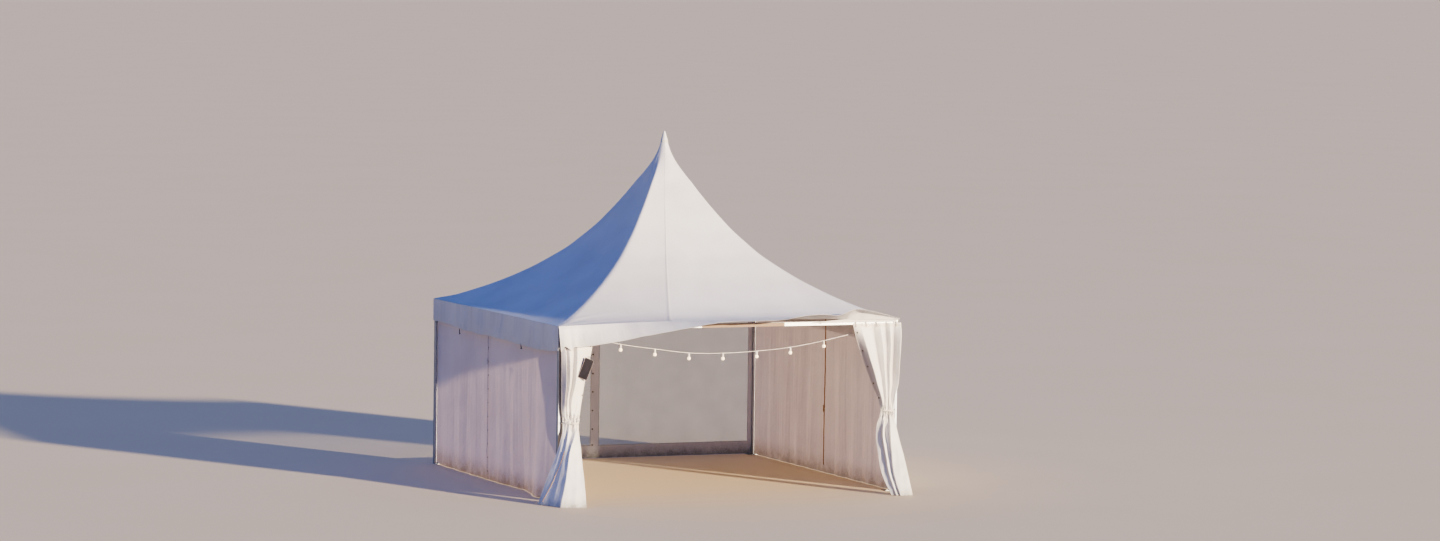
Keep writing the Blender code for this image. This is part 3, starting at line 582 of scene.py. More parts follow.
def coated_cloth(name, bright, dull, through, see_through, roughness, wrinkle):
    """PVC-coated polyester. through is the colour of light that passes, see_through its share."""
    material, tree, output, metres = new_material(name)
    colour = clouded(tree, metres, 1.6, 6.0, (dull, bright), (0.3, 0.62))[1]
    # The first mark paints a lilac grey: painted shade in the curtains' fold hollows, on an upright band of
    # each curtain and on the roof's left front panel, and faint random streaks on the valances.
    for mark, over in (("tone", "#A8A0AC"), ("hem", "#E3DDCB"), ("seam", "#8F8C93")):
        colour = blended(tree, attribute(tree, mark), colour, hex_colour(over))
    specks = add_node(tree, "TexNoise", {"Vector": metres}, {"Scale": 55.0, "Detail": 6.0})
    runs = add_node(tree, "TexNoise", {"Vector": metres}, {"Scale": 9.0, "Detail": 5.0})
    spatter = combined(tree, "MULTIPLY", specks.outputs["Fac"], runs.outputs["Fac"])
    soil = combined(tree, "MULTIPLY", attribute(tree, "soil"), combined(tree, "MULTIPLY", spatter, 3.6))
    soil = combined(tree, "SMOOTH_MIN", soil, 0.85, 0.2)
    colour = blended(tree, soil, colour, hex_colour("#5E6250"))
    turns = [
        combined(tree, "MULTIPLY", attribute(tree, way), TURN / THREAD_PITCH) for way in ("along", "up")
    ]
    weave = combined(tree, "MULTIPLY", *[combined(tree, "SINE", turn) for turn in turns])
    fine = add_node(tree, "Bump", {"Height": weave}, {"Strength": 0.5, "Distance": 0.0005})
    crush = add_node(tree, "TexNoise", {"Vector": metres}, {"Scale": 7.0, "Detail": 3.0})
    crushed = {"Height": crush.outputs["Fac"], "Normal": fine.outputs["Normal"]}
    bump = add_node(tree, "Bump", crushed, {"Strength": 1.0, "Distance": wrinkle})
    coat_links = {"Base Color": colour, "Normal": bump.outputs["Normal"]}
    coat = add_node(tree, "BsdfPrincipled", coat_links, {"Roughness": roughness, "IOR": 1.46})
    lit_through = {"Color": hex_colour(through)}
    thin = add_node(tree, "BsdfTranslucent", {"Normal": bump.outputs["Normal"]}, lit_through)
    cloth = add_node(tree, "MixShader", values={0: see_through})
    tree.links.new(coat.outputs["BSDF"], cloth.inputs[1])
    tree.links.new(thin.outputs["BSDF"], cloth.inputs[2])
    tree.links.new(cloth.outputs["Shader"], output.inputs["Surface"])
    return material


roof_cloth, wall_cloth, curtain_cloth = (
    coated_cloth(f"pvc_coated_polyester_{part}", *settings)
    for part, *settings in (
        ("roof", "#EFEEEC", "#E6E4E2", "#F6ECF4", 0.18, 0.42, 0.004),
        # The walls' cloth is a little cooler and darker than the roof's: painted shade, as the walls stand
        # mostly in shade.
        ("wall", "#E9EAEE", "#DCDDE3", "#FBEDEA", 0.38, 0.5, 0.006),
        ("front", "#F8F7F3", "#F0EEE8", "#FFE6CC", 0.15, 0.46, 0.008),
    )
)
print("3 cloth finishes made")

# %% [markdown]
# ## The roof
# The roof is one tensioned sheet: its hips and faces curve inwards because cloth under
# tension always does. The shape is a stack of rings from the peak to the eave. Each ring
# is a square with dished sides and softly rounded corners, and a measured table says how
# far out and how high each ring is.

# %% Lay the roof's rings
HIP = (
    (0.012, 0.954), (0.0195, 0.924), (0.0285, 0.891), (0.0425, 0.858), (0.0775, 0.792),
    (0.115, 0.727), (0.1555, 0.661), (0.198, 0.596), (0.243, 0.532), (0.2915, 0.467),
    (0.349, 0.402), (0.42, 0.328), (0.49, 0.27), (0.559, 0.218), (0.64, 0.165),
    (0.744, 0.105), (0.823, 0.066), (0.912, 0.027), (1.0, 0.0),
)
FACE_DISH = 0.035
FRONT_LIFT = 0.045
ROUND_REACH, ROUND_FROM, ROUND_OVER = 1.19, 0.12, 0.09
SIDE_COLUMNS = (116, 76, 76, 96)
SIDE_WELD = (-0.356, 0.36, -0.356, 0.38)
WELD_WIDE = 0.012


def smooth_table(table, at):
    """Smooth values between the rows of a table. Its first column is the place along it."""
    rows = np.array(sorted(table), float)
    keys, values = rows[:, 0], rows[:, 1:]
    slopes = np.gradient(values, keys, axis=0)
    at = np.clip(np.asarray(at, float), keys[0], keys[-1])
    k = np.clip(np.searchsorted(keys, at, side="right") - 1, 0, len(keys) - 2)
    span = (keys[k + 1] - keys[k])[..., None]
    s = (at[..., None] - keys[k][..., None]) / span
    start = (2 * s ** 3 - 3 * s ** 2 + 1) * values[k] + (s ** 3 - 2 * s ** 2 + s) * span * slopes[k]
    end = (3 * s ** 2 - 2 * s ** 3) * values[k + 1] + (s ** 3 - s ** 2) * span * slopes[k + 1]
    return start + end


def turned(x, y, side):
    """A point on the front side, turned to side 1 (right), 2 (rear) or 3 (left)."""
    for _ in range(side):
        x, y = -y, x
    return x, y


def side_places(side):
    """Places along one side from -1 to 1, closer together at the corners and at the weld."""
    even = np.linspace(0.0, 1.0, SIDE_COLUMNS[side] - 3)[:-1]
    places = 0.55 * (2 * even - 1) - 0.45 * np.cos(math.pi * even)
    weld = SIDE_WELD[side]
    extra = [weld - 0.002, weld, weld + WELD_WIDE, weld + WELD_WIDE + 0.002]
    keep = [t for t in places if not weld - 0.006 < t < weld + WELD_WIDE + 0.006]
    return np.array(sorted(keep + extra))


def hip_rows(count):
    """Shares of the half side and of the rise, evenly spread along the hip's curve."""
    shares = np.linspace(HIP[0][0], 1.0, 600)
    ups = smooth_table(HIP, shares)[:, 0]
    run = np.hypot(np.diff(shares) * HALF * math.sqrt(2), np.diff(ups) * RISE)
    length = np.concatenate(([0.0], run.cumsum()))
    even = length[-1] * (1 - (1 - np.linspace(0.0, 1.0, count)) ** 1.25)
    return np.interp(even, length, shares), np.interp(even, length, ups), even


def roof_grid():
    """The roof's rings from the top down, with its place on each face."""
    shares, ups, down = hip_rows(92)
    grid = []
    places = [side_places(side) for side in range(4)]
    for share, up in zip(shares, ups):
        half = HALF * share
        round_share = min(1.0, max(0.0, (ROUND_FROM - share) / ROUND_OVER))
        settle = min(1.0, (1.0 - share) / 0.06)
        dish = FACE_DISH * min(1.0, (1.0 - share) / 0.03)
        lift = FRONT_LIFT * max(0.0, (share - 0.8) / 0.2) ** 1.5
        soft = (0.012 + 0.06 * min(share / 0.4, 1.0) * settle) / half
        row = []
        for side, ts in enumerate(places):
            for t in ts:
                arch = 1 - t * t
                x = half * t * (1.0 - dish * arch * 0.3)
                y = -half * (1.0 - dish * arch)
                edge = 1 - abs(t)
                if edge < soft:
                    pull = (1 - edge / soft) ** 2 * soft * 0.25
                    x -= math.copysign(half * pull, t)
                    y += half * pull
                grow = 1 + round_share * (half * ROUND_REACH / math.hypot(x, y) - 1)
                px, py = turned(x * grow, y * grow, side)
                row.append((px, py, EAVE + RISE * up + (lift * arch if side == 0 else 0.0)))
        grid.append(row)
    sides = np.repeat(range(4), [len(ts) for ts in places])
    places = np.concatenate(places)
    across = (HALF * shares)[:, None] * places
    slope, faces, places = np.broadcast_arrays((down[-1] - down)[:, None], sides, places)
    return np.array(grid), across, slope, faces, places


grid, across, slope, face_of, t_all = roof_grid()
print(grid.shape[0], "rings of", grid.shape[1], "points")

# %% [markdown]
# ## Folds and welds of the roof
# Welds and the small creases that fan out from the corners are moved vertices, so they
# hold up in close views too. Each crease is a soft ridge or valley along a short line on
# the cloth, and the whole sheet gets a little slack away from its edges.

# %% Fold the roof
def unit(values):
    """Values cut to the range from 0 to 1."""
    return np.clip(values, 0, 1)


def soft_noise(points, stretch, seed):
    """Smooth noise of about -1 to 1 at each point. stretch is the size of its lumps in metres."""
    flat = np.asarray(points, float).reshape(-1, 3) / np.array(stretch, float) + seed * 17.3
    values = [noise.noise(Vector(p)) for p in flat]
    return np.array(values).reshape(np.asarray(points).shape[:-1])


def creases(across, slope, lines):
    """Heights of folds. Each line is (x0, y0, x1, y1, width, height), all in metres."""
    total = np.zeros_like(across)
    for x0, y0, x1, y1, width, height in lines:
        dx, dy = x1 - x0, y1 - y0
        length = math.hypot(dx, dy)
        s = ((across - x0) * dx + (slope - y0) * dy) / length ** 2
        off = ((across - x0) * dy - (slope - y0) * dx) / length
        taper = unit(1 - s) * unit((s + 0.08) / 0.12)
        spread = width * (0.5 + 0.9 * unit(s))
        total += height * np.exp(-(off / spread) ** 2) * taper
    return total


def corner_creases(corner, sign, seed, strength):
    """A fan of small folds that starts near one corner of a face."""
    draw = random.Random(seed)
    lines = []
    for degrees in (9, 16, 24, 33, 43, 55, 68):
        a = math.radians(degrees + draw.uniform(-2, 2))
        length = draw.uniform(0.45, 0.95)
        start = draw.uniform(0.06, 0.16)
        lines.append((
            corner - sign * start * math.cos(a), start * math.sin(a),
            corner - sign * (start + length) * math.cos(a), (start + length) * math.sin(a),
            draw.uniform(0.016, 0.03), strength * draw.uniform(0.5, 1.0) * draw.choice((1, 1, -1)),
        ))
    return lines


shape = np.zeros(across.shape)
for side, strength in enumerate((0.0055, 0.004, 0.004, 0.0045)):
    lines = corner_creases(-HALF, -1, 11 + side, strength)
    lines += corner_creases(HALF, 1, 31 + side, strength)
    draw = random.Random(71 + side)
    for k in range(16 if side == 0 else 9):
        x = -HALF + 0.35 + (k + draw.uniform(0.1, 0.9)) * (0.14 if side == 0 else 0.45)
        lines.append((x, 0.0, x + draw.uniform(-0.03, 0.03), draw.uniform(0.15, 0.42), 0.016,
                      strength * draw.uniform(0.3, 0.7)))
    if side == 0:
        lines += [(-2.25, 0.3, -1.45, 0.62, 0.035, 0.006), (-2.38, 0.1, -0.95, 0.3, 0.04, 0.005)]
    shape += creases(across, slope, lines) * (face_of == side)
weld_at = np.array(SIDE_WELD)[face_of]
on_weld = (t_all > weld_at - 0.001) & (t_all < weld_at + WELD_WIDE + 0.001)
shape += 0.0016 * on_weld
calm = unit(slope / 0.4) * unit((1.0 - slope / 4.6))
slack = soft_noise(grid, (0.9, 0.9, 0.6), 3) * 0.006 * calm
down_normals = grid_normals(grid, wrap=True)
outward = np.where(down_normals[..., 2:3] < 0, -1.0, 1.0)
fade = unit(slope / 0.05)
grid = grid + down_normals * outward * ((shape * fade) + slack)[..., None]
# The front face's left panel is painted a little darker, most towards the eave: painted shade, as if that
# panel faced further from the light.
left_panel = (face_of == 0) & (t_all < SIDE_WELD[0])
tone = 0.2 * left_panel * np.clip(1.15 - slope / 4.4, 0.3, 1.0)
roof = cloth_sheet(
    "roof_sheet", grid, roof_cloth, "roof_pvc", wrap=True, seam=0.3 * on_weld * (face_of == 0), tone=tone
)
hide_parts("roof_canopy")

# %% [markdown]
# ## The valances
# A valance is a strip that hangs from the roof's edge and hides the beam. The wind lifts
# the front one here, so its hem is given point by point: how far out and how far up. Its
# left corner is torn into short tips, and near the right corner it curls. The left one
# hangs, longer towards the front, with streaky folds.

# %% Mark the hems and folds
VALANCE_DROP = 0.3
FRONT_HEM = (
    (-1.0, 0.33, -0.94), (-0.9, 0.27, -0.96), (-0.786, 0.51, -0.86), (-0.645, 0.73, -0.69),
    (-0.515, 0.87, -0.5), (-0.403, 0.93, -0.37), (-0.318, 0.97, -0.26), (-0.232, 0.99, -0.15),
    (-0.131, 1.0, -0.05), (-0.029, 1.0, 0.01), (0.147, 1.0, 0.02), (0.265, 1.0, 0.06),
    (0.369, 0.98, 0.2), (0.488, 0.96, 0.27), (0.592, 0.96, 0.27), (0.692, 0.86, 0.51),
    (0.8, 0.62, 0.42), (0.9, 0.33, 0.25), (0.968, 0.13, 0.12), (1.0, 0.07, 0.07),
)
RIGHT_HEM = ((-1.0, 0.1), (-0.92, 0.5), (-0.8, 0.9), (-0.68, 1.0), (0.0, 1.0), (1.0, 1.0))
LEFT_HEM = (
    (-1.0, 1.03), (-0.69, 1.06), (-0.56, 1.12), (-0.3, 1.155), (0.15, 1.155), (0.42, 1.205),
    (0.75, 1.215), (0.976, 1.107), (1.0, 1.08),
)
REAR_HEM = ((-1.0, 1.0), (0.0, 1.0), (1.0, 1.0))
TORN_TIPS = ((-1.0, 0.055), (-0.972, -0.022), (-0.938, 0.036), (-0.912, -0.012))


def hill(x, at, wide):
    """A soft hill of height 1 at a place, that fades out over a width."""
    return np.exp(-((x - at) / wide) ** 2)


def grid_of(x, y, z):
    """Points from their x, y and z, each an array or one number."""
    return np.stack(np.broadcast_arrays(x, y, z), axis=-1)


def plain_hem(t, drops):
    """A hanging hem: a little swing out, and down by its share of the drop."""
    swing = 0.012 * (1 - t * t) * (1 + np.sin(t * 21.0))
    return swing, -VALANCE_DROP * smooth_table(drops, t)[:, 0]


def streaks(t, count, seed, wide):
    """Upright folds of uneven size and place along a strip, from about -1 to 1."""
    draw = random.Random(seed)
    total = np.zeros_like(t)
    for _ in range(count):
        at, size = draw.uniform(-1, 1), draw.uniform(0.5, 1.0) * draw.choice((1, -1))
        total += size * np.exp(-((t - at) / (wide * draw.uniform(0.6, 1.6))) ** 2)
    return np.clip(total, -1.3, 1.3)


def front_folds(t, down):
    """Broad billows, with a crumple at the left corner."""
    near = hill(t, -0.95, 0.075)
    places = grid_of(t * HALF, 0.0, VALANCE_DROP * down)
    fine = streaks(t, 60, 5, 0.008) * 0.004 * np.clip(-t, 0.15, 1) + streaks(t, 22, 6, 0.03) * 0.005
    crumple = soft_noise(places, (0.075, 1, 0.14), 5) * 0.028
    crumple += soft_noise(places, (0.03, 1, 0.05), 6) * 0.009
    return fine + crumple * near * down


def left_folds(t, down):
    """Streaky folds, calmer where the strip is pulled tight."""
    calm = 1 - 0.85 * hill(t, 0.36, 0.2)
    return (streaks(t + 0.01 * down, 120, 9, 0.007) * 0.0075 + streaks(t, 26, 10, 0.028) * 0.012) * calm


def plain_folds(t, _):
    """Fine and broad upright folds, the same from the hem to the eave."""
    return streaks(t, 60, 14, 0.012) * 0.004 + streaks(t, 18, 15, 0.04) * 0.005


def front_hem(t):
    """The measured hem, with the torn tips at the left corner."""
    table = smooth_table(FRONT_HEM, t) * VALANCE_DROP
    tips = sum(deep * hill(t, at, 0.011) for at, deep in TORN_TIPS)
    return table[:, 0], table[:, 1] - tips


def front_curl(t):
    """Near the right corner the strip rises steeply first and then tips over."""
    return unit((t - 0.68) / 0.08) * unit((1.0 - t) / 0.04)


print(len(FRONT_HEM), "places along the front hem")

# %% [markdown]
# ## Hanging the valances
# Each strip is a grid from the hem to the eave; the folds are added across it and grow
# towards the free hem. One function makes all four, turned to their sides.

# %% Hang the valances
def valance(name, node, side, hem, folds, lift=0.0, rows=15, columns=230, billow=0.0, curl=None):
    """A strip from its free hem up to the roof's edge."""
    rim = 0.0021
    end = 1.0 - 0.0018 / HALF
    even = np.linspace(0.0, 1.0, columns)
    t = end * (0.6 * (2 * even - 1) - 0.4 * np.cos(math.pi * even))
    out, up = hem(t)
    level = out / np.hypot(out, up)
    eave = EAVE + lift * (1 - t * t)
    flat = np.hypot(out, up)
    # The curtain's head loops stand in front of the beam on the left, so the strip clears them.
    loops = unit((-0.68 - t) / 0.05) if side == 0 else 0.0
    bend = 1.0 + (curl(t) if curl else 0.0)
    grid = []
    downs = 1 - np.linspace(0.0, 1.0, rows) ** 0.9
    for down in downs:
        swell = billow * math.sin(math.pi * down) * unit((1 - t * t) * 1.5)
        push = folds(t, down) * min(1.0, down * 2.2) * unit((1 - np.abs(t)) * 22)
        y = -HALF - rim * level - out * down ** bend - (push + swell) * np.abs(up) / flat
        least = (0.5 + 0.45 * loops) * out * down + 0.006 * loops * min(1.0, 8 * down)
        y = np.minimum(y, -HALF - least)
        z = eave - rim * (1 - level) + up * (1 - (1 - down) ** bend) + (push + swell) * level
        grid.append([(*turned(a, b, side), c) for a, b, c in zip(HALF * t, y, z)])
    grid = np.array(grid)
    below = 1 - downs[:, None]
    hem_band = unit(1 - np.abs(below - 0.05) / 0.06)
    piece = cloth_sheet(
        name, grid, roof_cloth, "roof_pvc", thick=CLOTH * (1 + 0.6 * hem_band), hem=0.45 * hem_band,
        tone=0.16 * unit(streaks(t, 45, 21, 0.018)) * below ** 0.5, soil=0.1 * (1 - below),
    )
    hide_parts(node)
    area = cloth_area(grid)
    return area


front_area = valance(
    "valance_front_lifted", "valance_front", 0, front_hem, front_folds, FRONT_LIFT, 22, 360, 0.008,
    front_curl,
)
for number, side, hem, folds, columns in (
    (1, "right", RIGHT_HEM, plain_folds, 170),
    (2, "rear", REAR_HEM, plain_folds, 170),
    (3, "left", LEFT_HEM, left_folds, 330),
):
    hung = partial(plain_hem, drops=hem)
    valance(f"valance_{side}_strip", f"valance_{side}", number, hung, folds, columns=columns)
print("front valance area", round(front_area, 2), "square metres")

# %% [markdown]
# ## The side walls
# Each side is closed by two plain panels, laced where they meet. Loose cloth hangs in
# soft upright waves with finer ripples between them, and its foot swings in and out.
# Waves that run straight down look like sheet metal, so the ripples also drift a little
# from top to bottom. Dirt is stored along the foot, where rain splashes.

# %% Hang the side walls
FOOT_FLARE = 0.1
LEFT_FOOT = (
    (0.0, 0.0), (0.04, 0.0), (0.1, 0.55), (0.16, 0.95), (0.21, 1.0), (0.28, 0.75),
    (0.38, 0.05), (0.49, -0.4), (0.65, -0.25), (0.82, 0.0), (1.0, 0.0),
)
STILL_FOOT = ((0.0, 0.0), (0.5, 0.0), (1.0, 0.0))
INNER_END = LEG_INNER - JOINT_GAP
LEFT_SEAM, RIGHT_SEAM, REAR_SEAM = 0.26, 0.0, -0.035
SIDE_FOOT = 0.006
wall_grids = {}


def wall(node, sign, low, high, waves, seed, flare=STILL_FOOT):
    """A wall panel between two stations along a side."""
    columns = int((high - low) / 0.0165)
    rows = 46
    share = np.linspace(0.0, 1.0, columns)
    along = low + (high - low) * share
    level = (1 - np.linspace(1.0, 0.0, rows) ** 1.15)[:, None]
    down = 1 - level
    edge = np.sqrt(unit(np.sin(math.pi * share)))
    wave = 0.009 * np.sin(TURN * waves * share + 0.6) * edge * (0.35 + 0.65 * down)
    free = unit((INNER_END - np.abs(along) - 0.1) / 0.1)
    z = WALL_TOP * level + SIDE_FOOT * down + 0.006 * (1 - free) * down
    flat = grid_of(along, 0.0, z)
    ripple = soft_noise(flat, (0.055, 1.0, 0.9), seed) * 0.0055
    ripple += soft_noise(flat, (0.16, 1.0, 1.6), seed + 1) * 0.009
    sway = soft_noise(flat, (0.4, 1.0, 0.5), seed + 2) * 0.01
    out = FOOT_FLARE * smooth_table(flare, share)[:, 0] * down ** 3
    loose = np.clip(np.sin(math.pi * unit(level * 1.04)) * 1.2 + 0.45 * down, 0.1, 1)
    off = BEAM_MID + wave + out + (ripple + sway * 0.6) * edge ** 0.7 * loose
    off = np.clip(off, BEAM_MID - 0.03 - 0.06 * down ** 3, None)
    grid = grid_of(sign * off, along, z)
    splash = unit(1 - z / 0.3) ** 1.6
    hem_band = unit(1 - np.abs(z - 0.045) / 0.008) * 0.5
    sides = unit(1 - np.minimum(share, 1 - share) * (high - low) / 0.03) * 0.4
    piece = cloth_sheet(
        f"{node}_panel", grid, wall_cloth, "wall_pvc", soil=splash, hem=sides, seam=hem_band * 0.5
    )
    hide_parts(node)
    wall_grids[piece.name] = grid
    print(piece.name, round(cloth_area(grid), 2), "square metres")


wall("wall_left_front", -1, -INNER_END, LEFT_SEAM - JOINT_GAP, 5, 3, LEFT_FOOT)
wall("wall_left_rear", -1, LEFT_SEAM, INNER_END, 4, 23)
wall("wall_right_front", 1, -INNER_END, RIGHT_SEAM - JOINT_GAP, 5, 43)
wall("wall_right_rear", 1, RIGHT_SEAM, INNER_END, 5, 63)

# %% [markdown]
# ## The rear wall and its windows
# The rear wall has two panels, each a white border welded round a sheet of clear film.
# Cast vinyl film is never flat: it bags between its welds, and the eye knows it as clear
# only by those bent highlights. It is a thin sheet with soft swells, see-through, with a
# low roughness and a faint blue-grey haze.

# %% Clear film
clear_film, tree, output, metres = new_material("clear_vinyl_film_cast")
haze = add_node(tree, "TexNoise", {"Vector": metres}, {"Scale": 2.5, "Detail": 5.0})
faint = {"To Min": 0.16, "To Max": 0.3}
veil = add_node(tree, "MapRange", {"Value": haze.outputs["Fac"]}, faint)
swell = add_node(tree, "TexNoise", {"Vector": metres}, {"Scale": 4.5, "Detail": 2.0})
film_values = {"Base Color": hex_colour("#C9D2D8"), "Roughness": 0.08, "IOR": 1.53}
surface(tree, output, {"Alpha": veil.outputs["Result"]}, film_values, swell.outputs["Fac"], 1.0, 0.012)
print("finish:", clear_film.name)

# %% [markdown]
# ## The two rear panels
# Each panel's border is a strip that runs round the window, so it is built as one closed
# ring: eight outlines, one inside the other, from the outer edge to the weld. The film is
# a second sheet that laps under the weld all round and bags a little in the middle.

# %% Build the rear wall
WINDOW_SIDE, WINDOW_TOP, WINDOW_FOOT = 0.07, 0.12, 0.2
STRIP_WIDE, LAP = 0.2, 0.012


def rectangle(low, high, foot, top, count):
    """Points round an upright rectangle, spread the same way for each size."""
    corners = [(low, foot), (high, foot), (high, top), (low, top)]
    ring = []
    for k in range(4):
        (x0, z0), (x1, z1) = corners[k], corners[(k + 1) % 4]
        ring += [(x0 + (x1 - x0) * j / count, z0 + (z1 - z0) * j / count) for j in range(count)]
    return np.array(ring)


def rear_panel(side, low, high, seed):
    """A border with its window. The border is one ring-shaped sheet."""
    outer = rectangle(low, high, 0.0108, WALL_TOP, 44)
    inner = rectangle(low + WINDOW_SIDE, high - WINDOW_SIDE, WINDOW_FOOT, BEAM_FOOT - WINDOW_TOP, 44)
    rings = [outer + (inner - outer) * share for share in (0.0, 0.06, 0.2, 0.4, 0.6, 0.8, 0.94, 1.0)]
    flat = np.array([[(x, 0.0, z) for x, z in ring] for ring in rings])
    bag = soft_noise(flat, (0.5, 1.0, 0.22), seed) * 0.006
    edge = np.array([0, 0.4, 0.9, 1, 1, 0.8, 0.3, 0.1])[:, None]
    grid = flat.copy()
    grid[..., 1] = BEAM_MID + bag * edge
    splash = unit(1 - flat[..., 2] / 0.25) ** 1.5
    weld = np.array([0, 0, 0, 0, 0, 0, 1.0, 1.0])[:, None]
    border = cloth_sheet(
        f"rear_{side}_border", grid, wall_cloth, "wall_pvc", wrap=True, soil=splash, hem=0.35 * weld
    )
    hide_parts(f"wall_rear_{side}_border")
    border_area = cloth_area(grid, wrap=True)
    x = np.linspace(low + WINDOW_SIDE - LAP, high - WINDOW_SIDE + LAP, 70)
    z = np.linspace(WINDOW_FOOT - LAP, BEAM_FOOT - WINDOW_TOP + LAP, 40)[:, None]
    share, up = (x - x[0]) / (x[-1] - x[0]), (z - z[0]) / (z[-1] - z[0])
    film = grid_of(x, 0.0, z)
    swell = soft_noise(film, (0.45, 1.0, 0.3), seed + 5) * 0.022
    swell += soft_noise(film, (0.12, 1.0, 0.9), seed + 6) * 0.006
    hold = unit(np.minimum(np.minimum(share, 1 - share) * 12, np.minimum(up, 1 - up) * 10))
    film[..., 1] = BEAM_MID - 0.0028 + (swell - 0.004) * hold
    window = cloth_sheet(f"rear_{side}_window", film, clear_film, "window_pvc", thick=0.0006)
    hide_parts(f"wall_rear_{side}_window")
    return border_area


rear_area = rear_panel("left", -INNER_END, REAR_SEAM - JOINT_GAP, 7)
rear_area += rear_panel("right", REAR_SEAM, INNER_END, 17)
print("rear borders", round(rear_area, 2), "square metres")

# %% [markdown]
# ## The curtains
# The front wall is two loose panels, drawn to the legs and gathered. A table measured
# from the reference gives, for each level, where the cloth starts and ends and how far
# it stands out there. Heavy coated cloth makes few and broad folds, so a second table
# marks each ridge and valley. A simulation would have to be tuned until it landed on the
# measured outline, so the folds are written directly.

# %% Mark the curtains' folds
CURTAIN_TOP = BEAM_FOOT + 0.02
CURTAIN_FOOT = 0.004
LEFT_CURTAIN = (
    (1.0, 0.033, 0.0, 0.497, 0.0), (0.95, 0.031, 0.004, 0.495, 0.006),
    (0.9, 0.031, 0.014, 0.482, 0.012), (0.86, 0.026, 0.046, 0.466, 0.02),
    (0.78, 0.029, 0.048, 0.417, 0.028), (0.7, 0.032, 0.048, 0.38, 0.03),
    (0.6, 0.036, 0.046, 0.338, 0.032), (0.53, 0.042, 0.04, 0.313, 0.036),
    (0.478, 0.06, 0.034, 0.301, 0.04), (0.44, 0.064, 0.036, 0.289, 0.05),
    (0.325, -0.01, 0.094, 0.253, 0.222), (0.167, -0.186, 0.175, 0.204, 0.48),
    (0.0, -0.363, 0.245, 0.15, 0.743),
)
RIGHT_CURTAIN = (
    (1.0, -0.03, 0.0, 0.692, 0.0), (0.95, -0.022, 0.022, 0.665, 0.018),
    (0.85, -0.004, 0.045, 0.589, 0.04), (0.74, 0.015, 0.05, 0.492, 0.05),
    (0.64, 0.028, 0.05, 0.399, 0.05), (0.55, 0.08, 0.055, 0.309, 0.055),
    (0.497, 0.088, 0.055, 0.283, 0.055), (0.46, 0.089, 0.075, 0.291, 0.062),
    (0.4, 0.079, 0.13, 0.334, 0.08), (0.33, 0.071, 0.21, 0.365, 0.11),
    (0.23, 0.054, 0.34, 0.368, 0.18), (0.14, 0.045, 0.45, 0.374, 0.29),
    (0.0, 0.029, 0.609, 0.313, 0.52),
)


# Each line is a ridge or a valley that runs from the head to the foot, edge lines included.
# Its first row holds its places across at each level, from the leg inwards, and its second
# row how far it stands out there, in metres.
LEFT_LEVELS = (1, 0.9, 0.7, 0.56, 0.485, 0.44, 0.33, 0.167, 0)
LEFT_LINES = (
    ((0,) * 9, (0,) * 9),
    ((0.04, 0.11, 0.135, 0.12, 0.12, 0.12, 0.1, 0.14, 0.14),
     (0.012, 0.034, 0.085, 0.05, 0.02, 0.016, 0.026, 0.036, 0.046)),
    ((0.1, 0.15, 0.175, 0.16, 0.2, 0.2, 0.22, 0.26, 0.26),
     (0.002, 0.004, 0.03, 0.02, 0.008, 0.016, 0.036, 0.062, 0.078)),
    ((0.19, 0.22, 0.25, 0.22, 0.3, 0.3, 0.34, 0.38, 0.38),
     (0.022, 0.046, 0.094, 0.058, 0.028, 0.05, 0.078, 0.1, 0.124)),
    ((0.38, 0.4, 0.44, 0.36, 0.42, 0.52, 0.46, 0.5, 0.48),
     (0.002, 0.004, 0.008, 0.016, 0.004, 0.01, 0.08, 0.124, 0.155)),
    ((0.48, 0.48, 0.515, 0.42, 0.5, 0.7, 0.6, 0.61, 0.58),
     (0.024, 0.046, 0.076, 0.052, 0.03, 0.048, 0.122, 0.158, 0.19)),
    ((0.8, 0.8, 0.895, 0.88, 0.85, 0.9, 0.84, 0.84, 0.82),
     (0.016, 0.028, 0.033, 0.02, 0.022, 0.03, 0.052, 0.078, 0.095)),
    ((1,) * 9, (0,) * 9),
)
RIGHT_LEVELS = (1, 0.95, 0.84, 0.64, 0.53, 0.48, 0.38, 0.24, 0.12, 0)
RIGHT_LINES = (
    ((0,) * 10,
     (0, 0.01, 0.02, 0.018, 0.008, 0, 0, 0, 0, 0)),
    ((0.02, 0.02, 0.025, 0.034, 0.05, 0.06, 0.06, 0.06, 0.08, 0.1),
     (0.022, 0.05, 0.062, 0.05, 0.03, 0.01, 0.014, 0.012, 0.012, 0.012)),
    ((0.14, 0.14, 0.14, 0.18, 0.2, 0.2, 0.2, 0.22, 0.26, 0.3),
     (-0.004, -0.024, -0.04, -0.03, -0.018, -0.004, 0.034, 0.034, 0.034, 0.034)),
    ((0.25, 0.25, 0.25, 0.35, 0.36, 0.34, 0.37, 0.45, 0.53, 0.6),
     (0.022, 0.032, 0.024, 0.03, 0.022, 0.014, 0.064, 0.06, 0.056, 0.05)),
    ((0.32, 0.32, 0.32, 0.41, 0.44, 0.44, 0.41, 0.49, 0.57, 0.64),
     (-0.004, -0.024, -0.03, -0.004, -0.002, 0, 0.012, 0.006, 0.01, 0.012)),
    ((0.445, 0.445, 0.445, 0.52, 0.55, 0.56, 0.58, 0.6, 0.63, 0.69),
     (0.024, 0.036, 0.034, 0.03, 0.024, 0.016, -0.022, 0.004, 0.014, 0.022)),
    ((0.58, 0.58, 0.58, 0.605, 0.64, 0.66, 0.72, 0.68, 0.7, 0.76),
     (-0.004, -0.024, -0.032, -0.018, -0.012, 0, 0.044, 0.046, 0.042, 0.04)),
    ((0.785, 0.785, 0.785, 0.79, 0.8, 0.78, 0.8, 0.76, 0.78, 0.84),
     (0.016, 0.018, 0.028, 0.026, 0.022, 0.014, 0, 0, 0.002, 0.006)),
    ((0.85, 0.86, 0.868, 0.866, 0.87, 0.88, 0.9, 0.88, 0.9, 0.93),
     (0.01, 0.034, 0.066, 0.054, 0.028, 0.006, -0.016, -0.016, -0.016, -0.01)),
    ((1,) * 10,
     (0, -0.018, -0.046, -0.044, -0.024, 0, -0.03, -0.03, -0.026, -0.016)),
)
FOLD_ROUNDING = 0.009
GATHER_LEVEL = 0.478


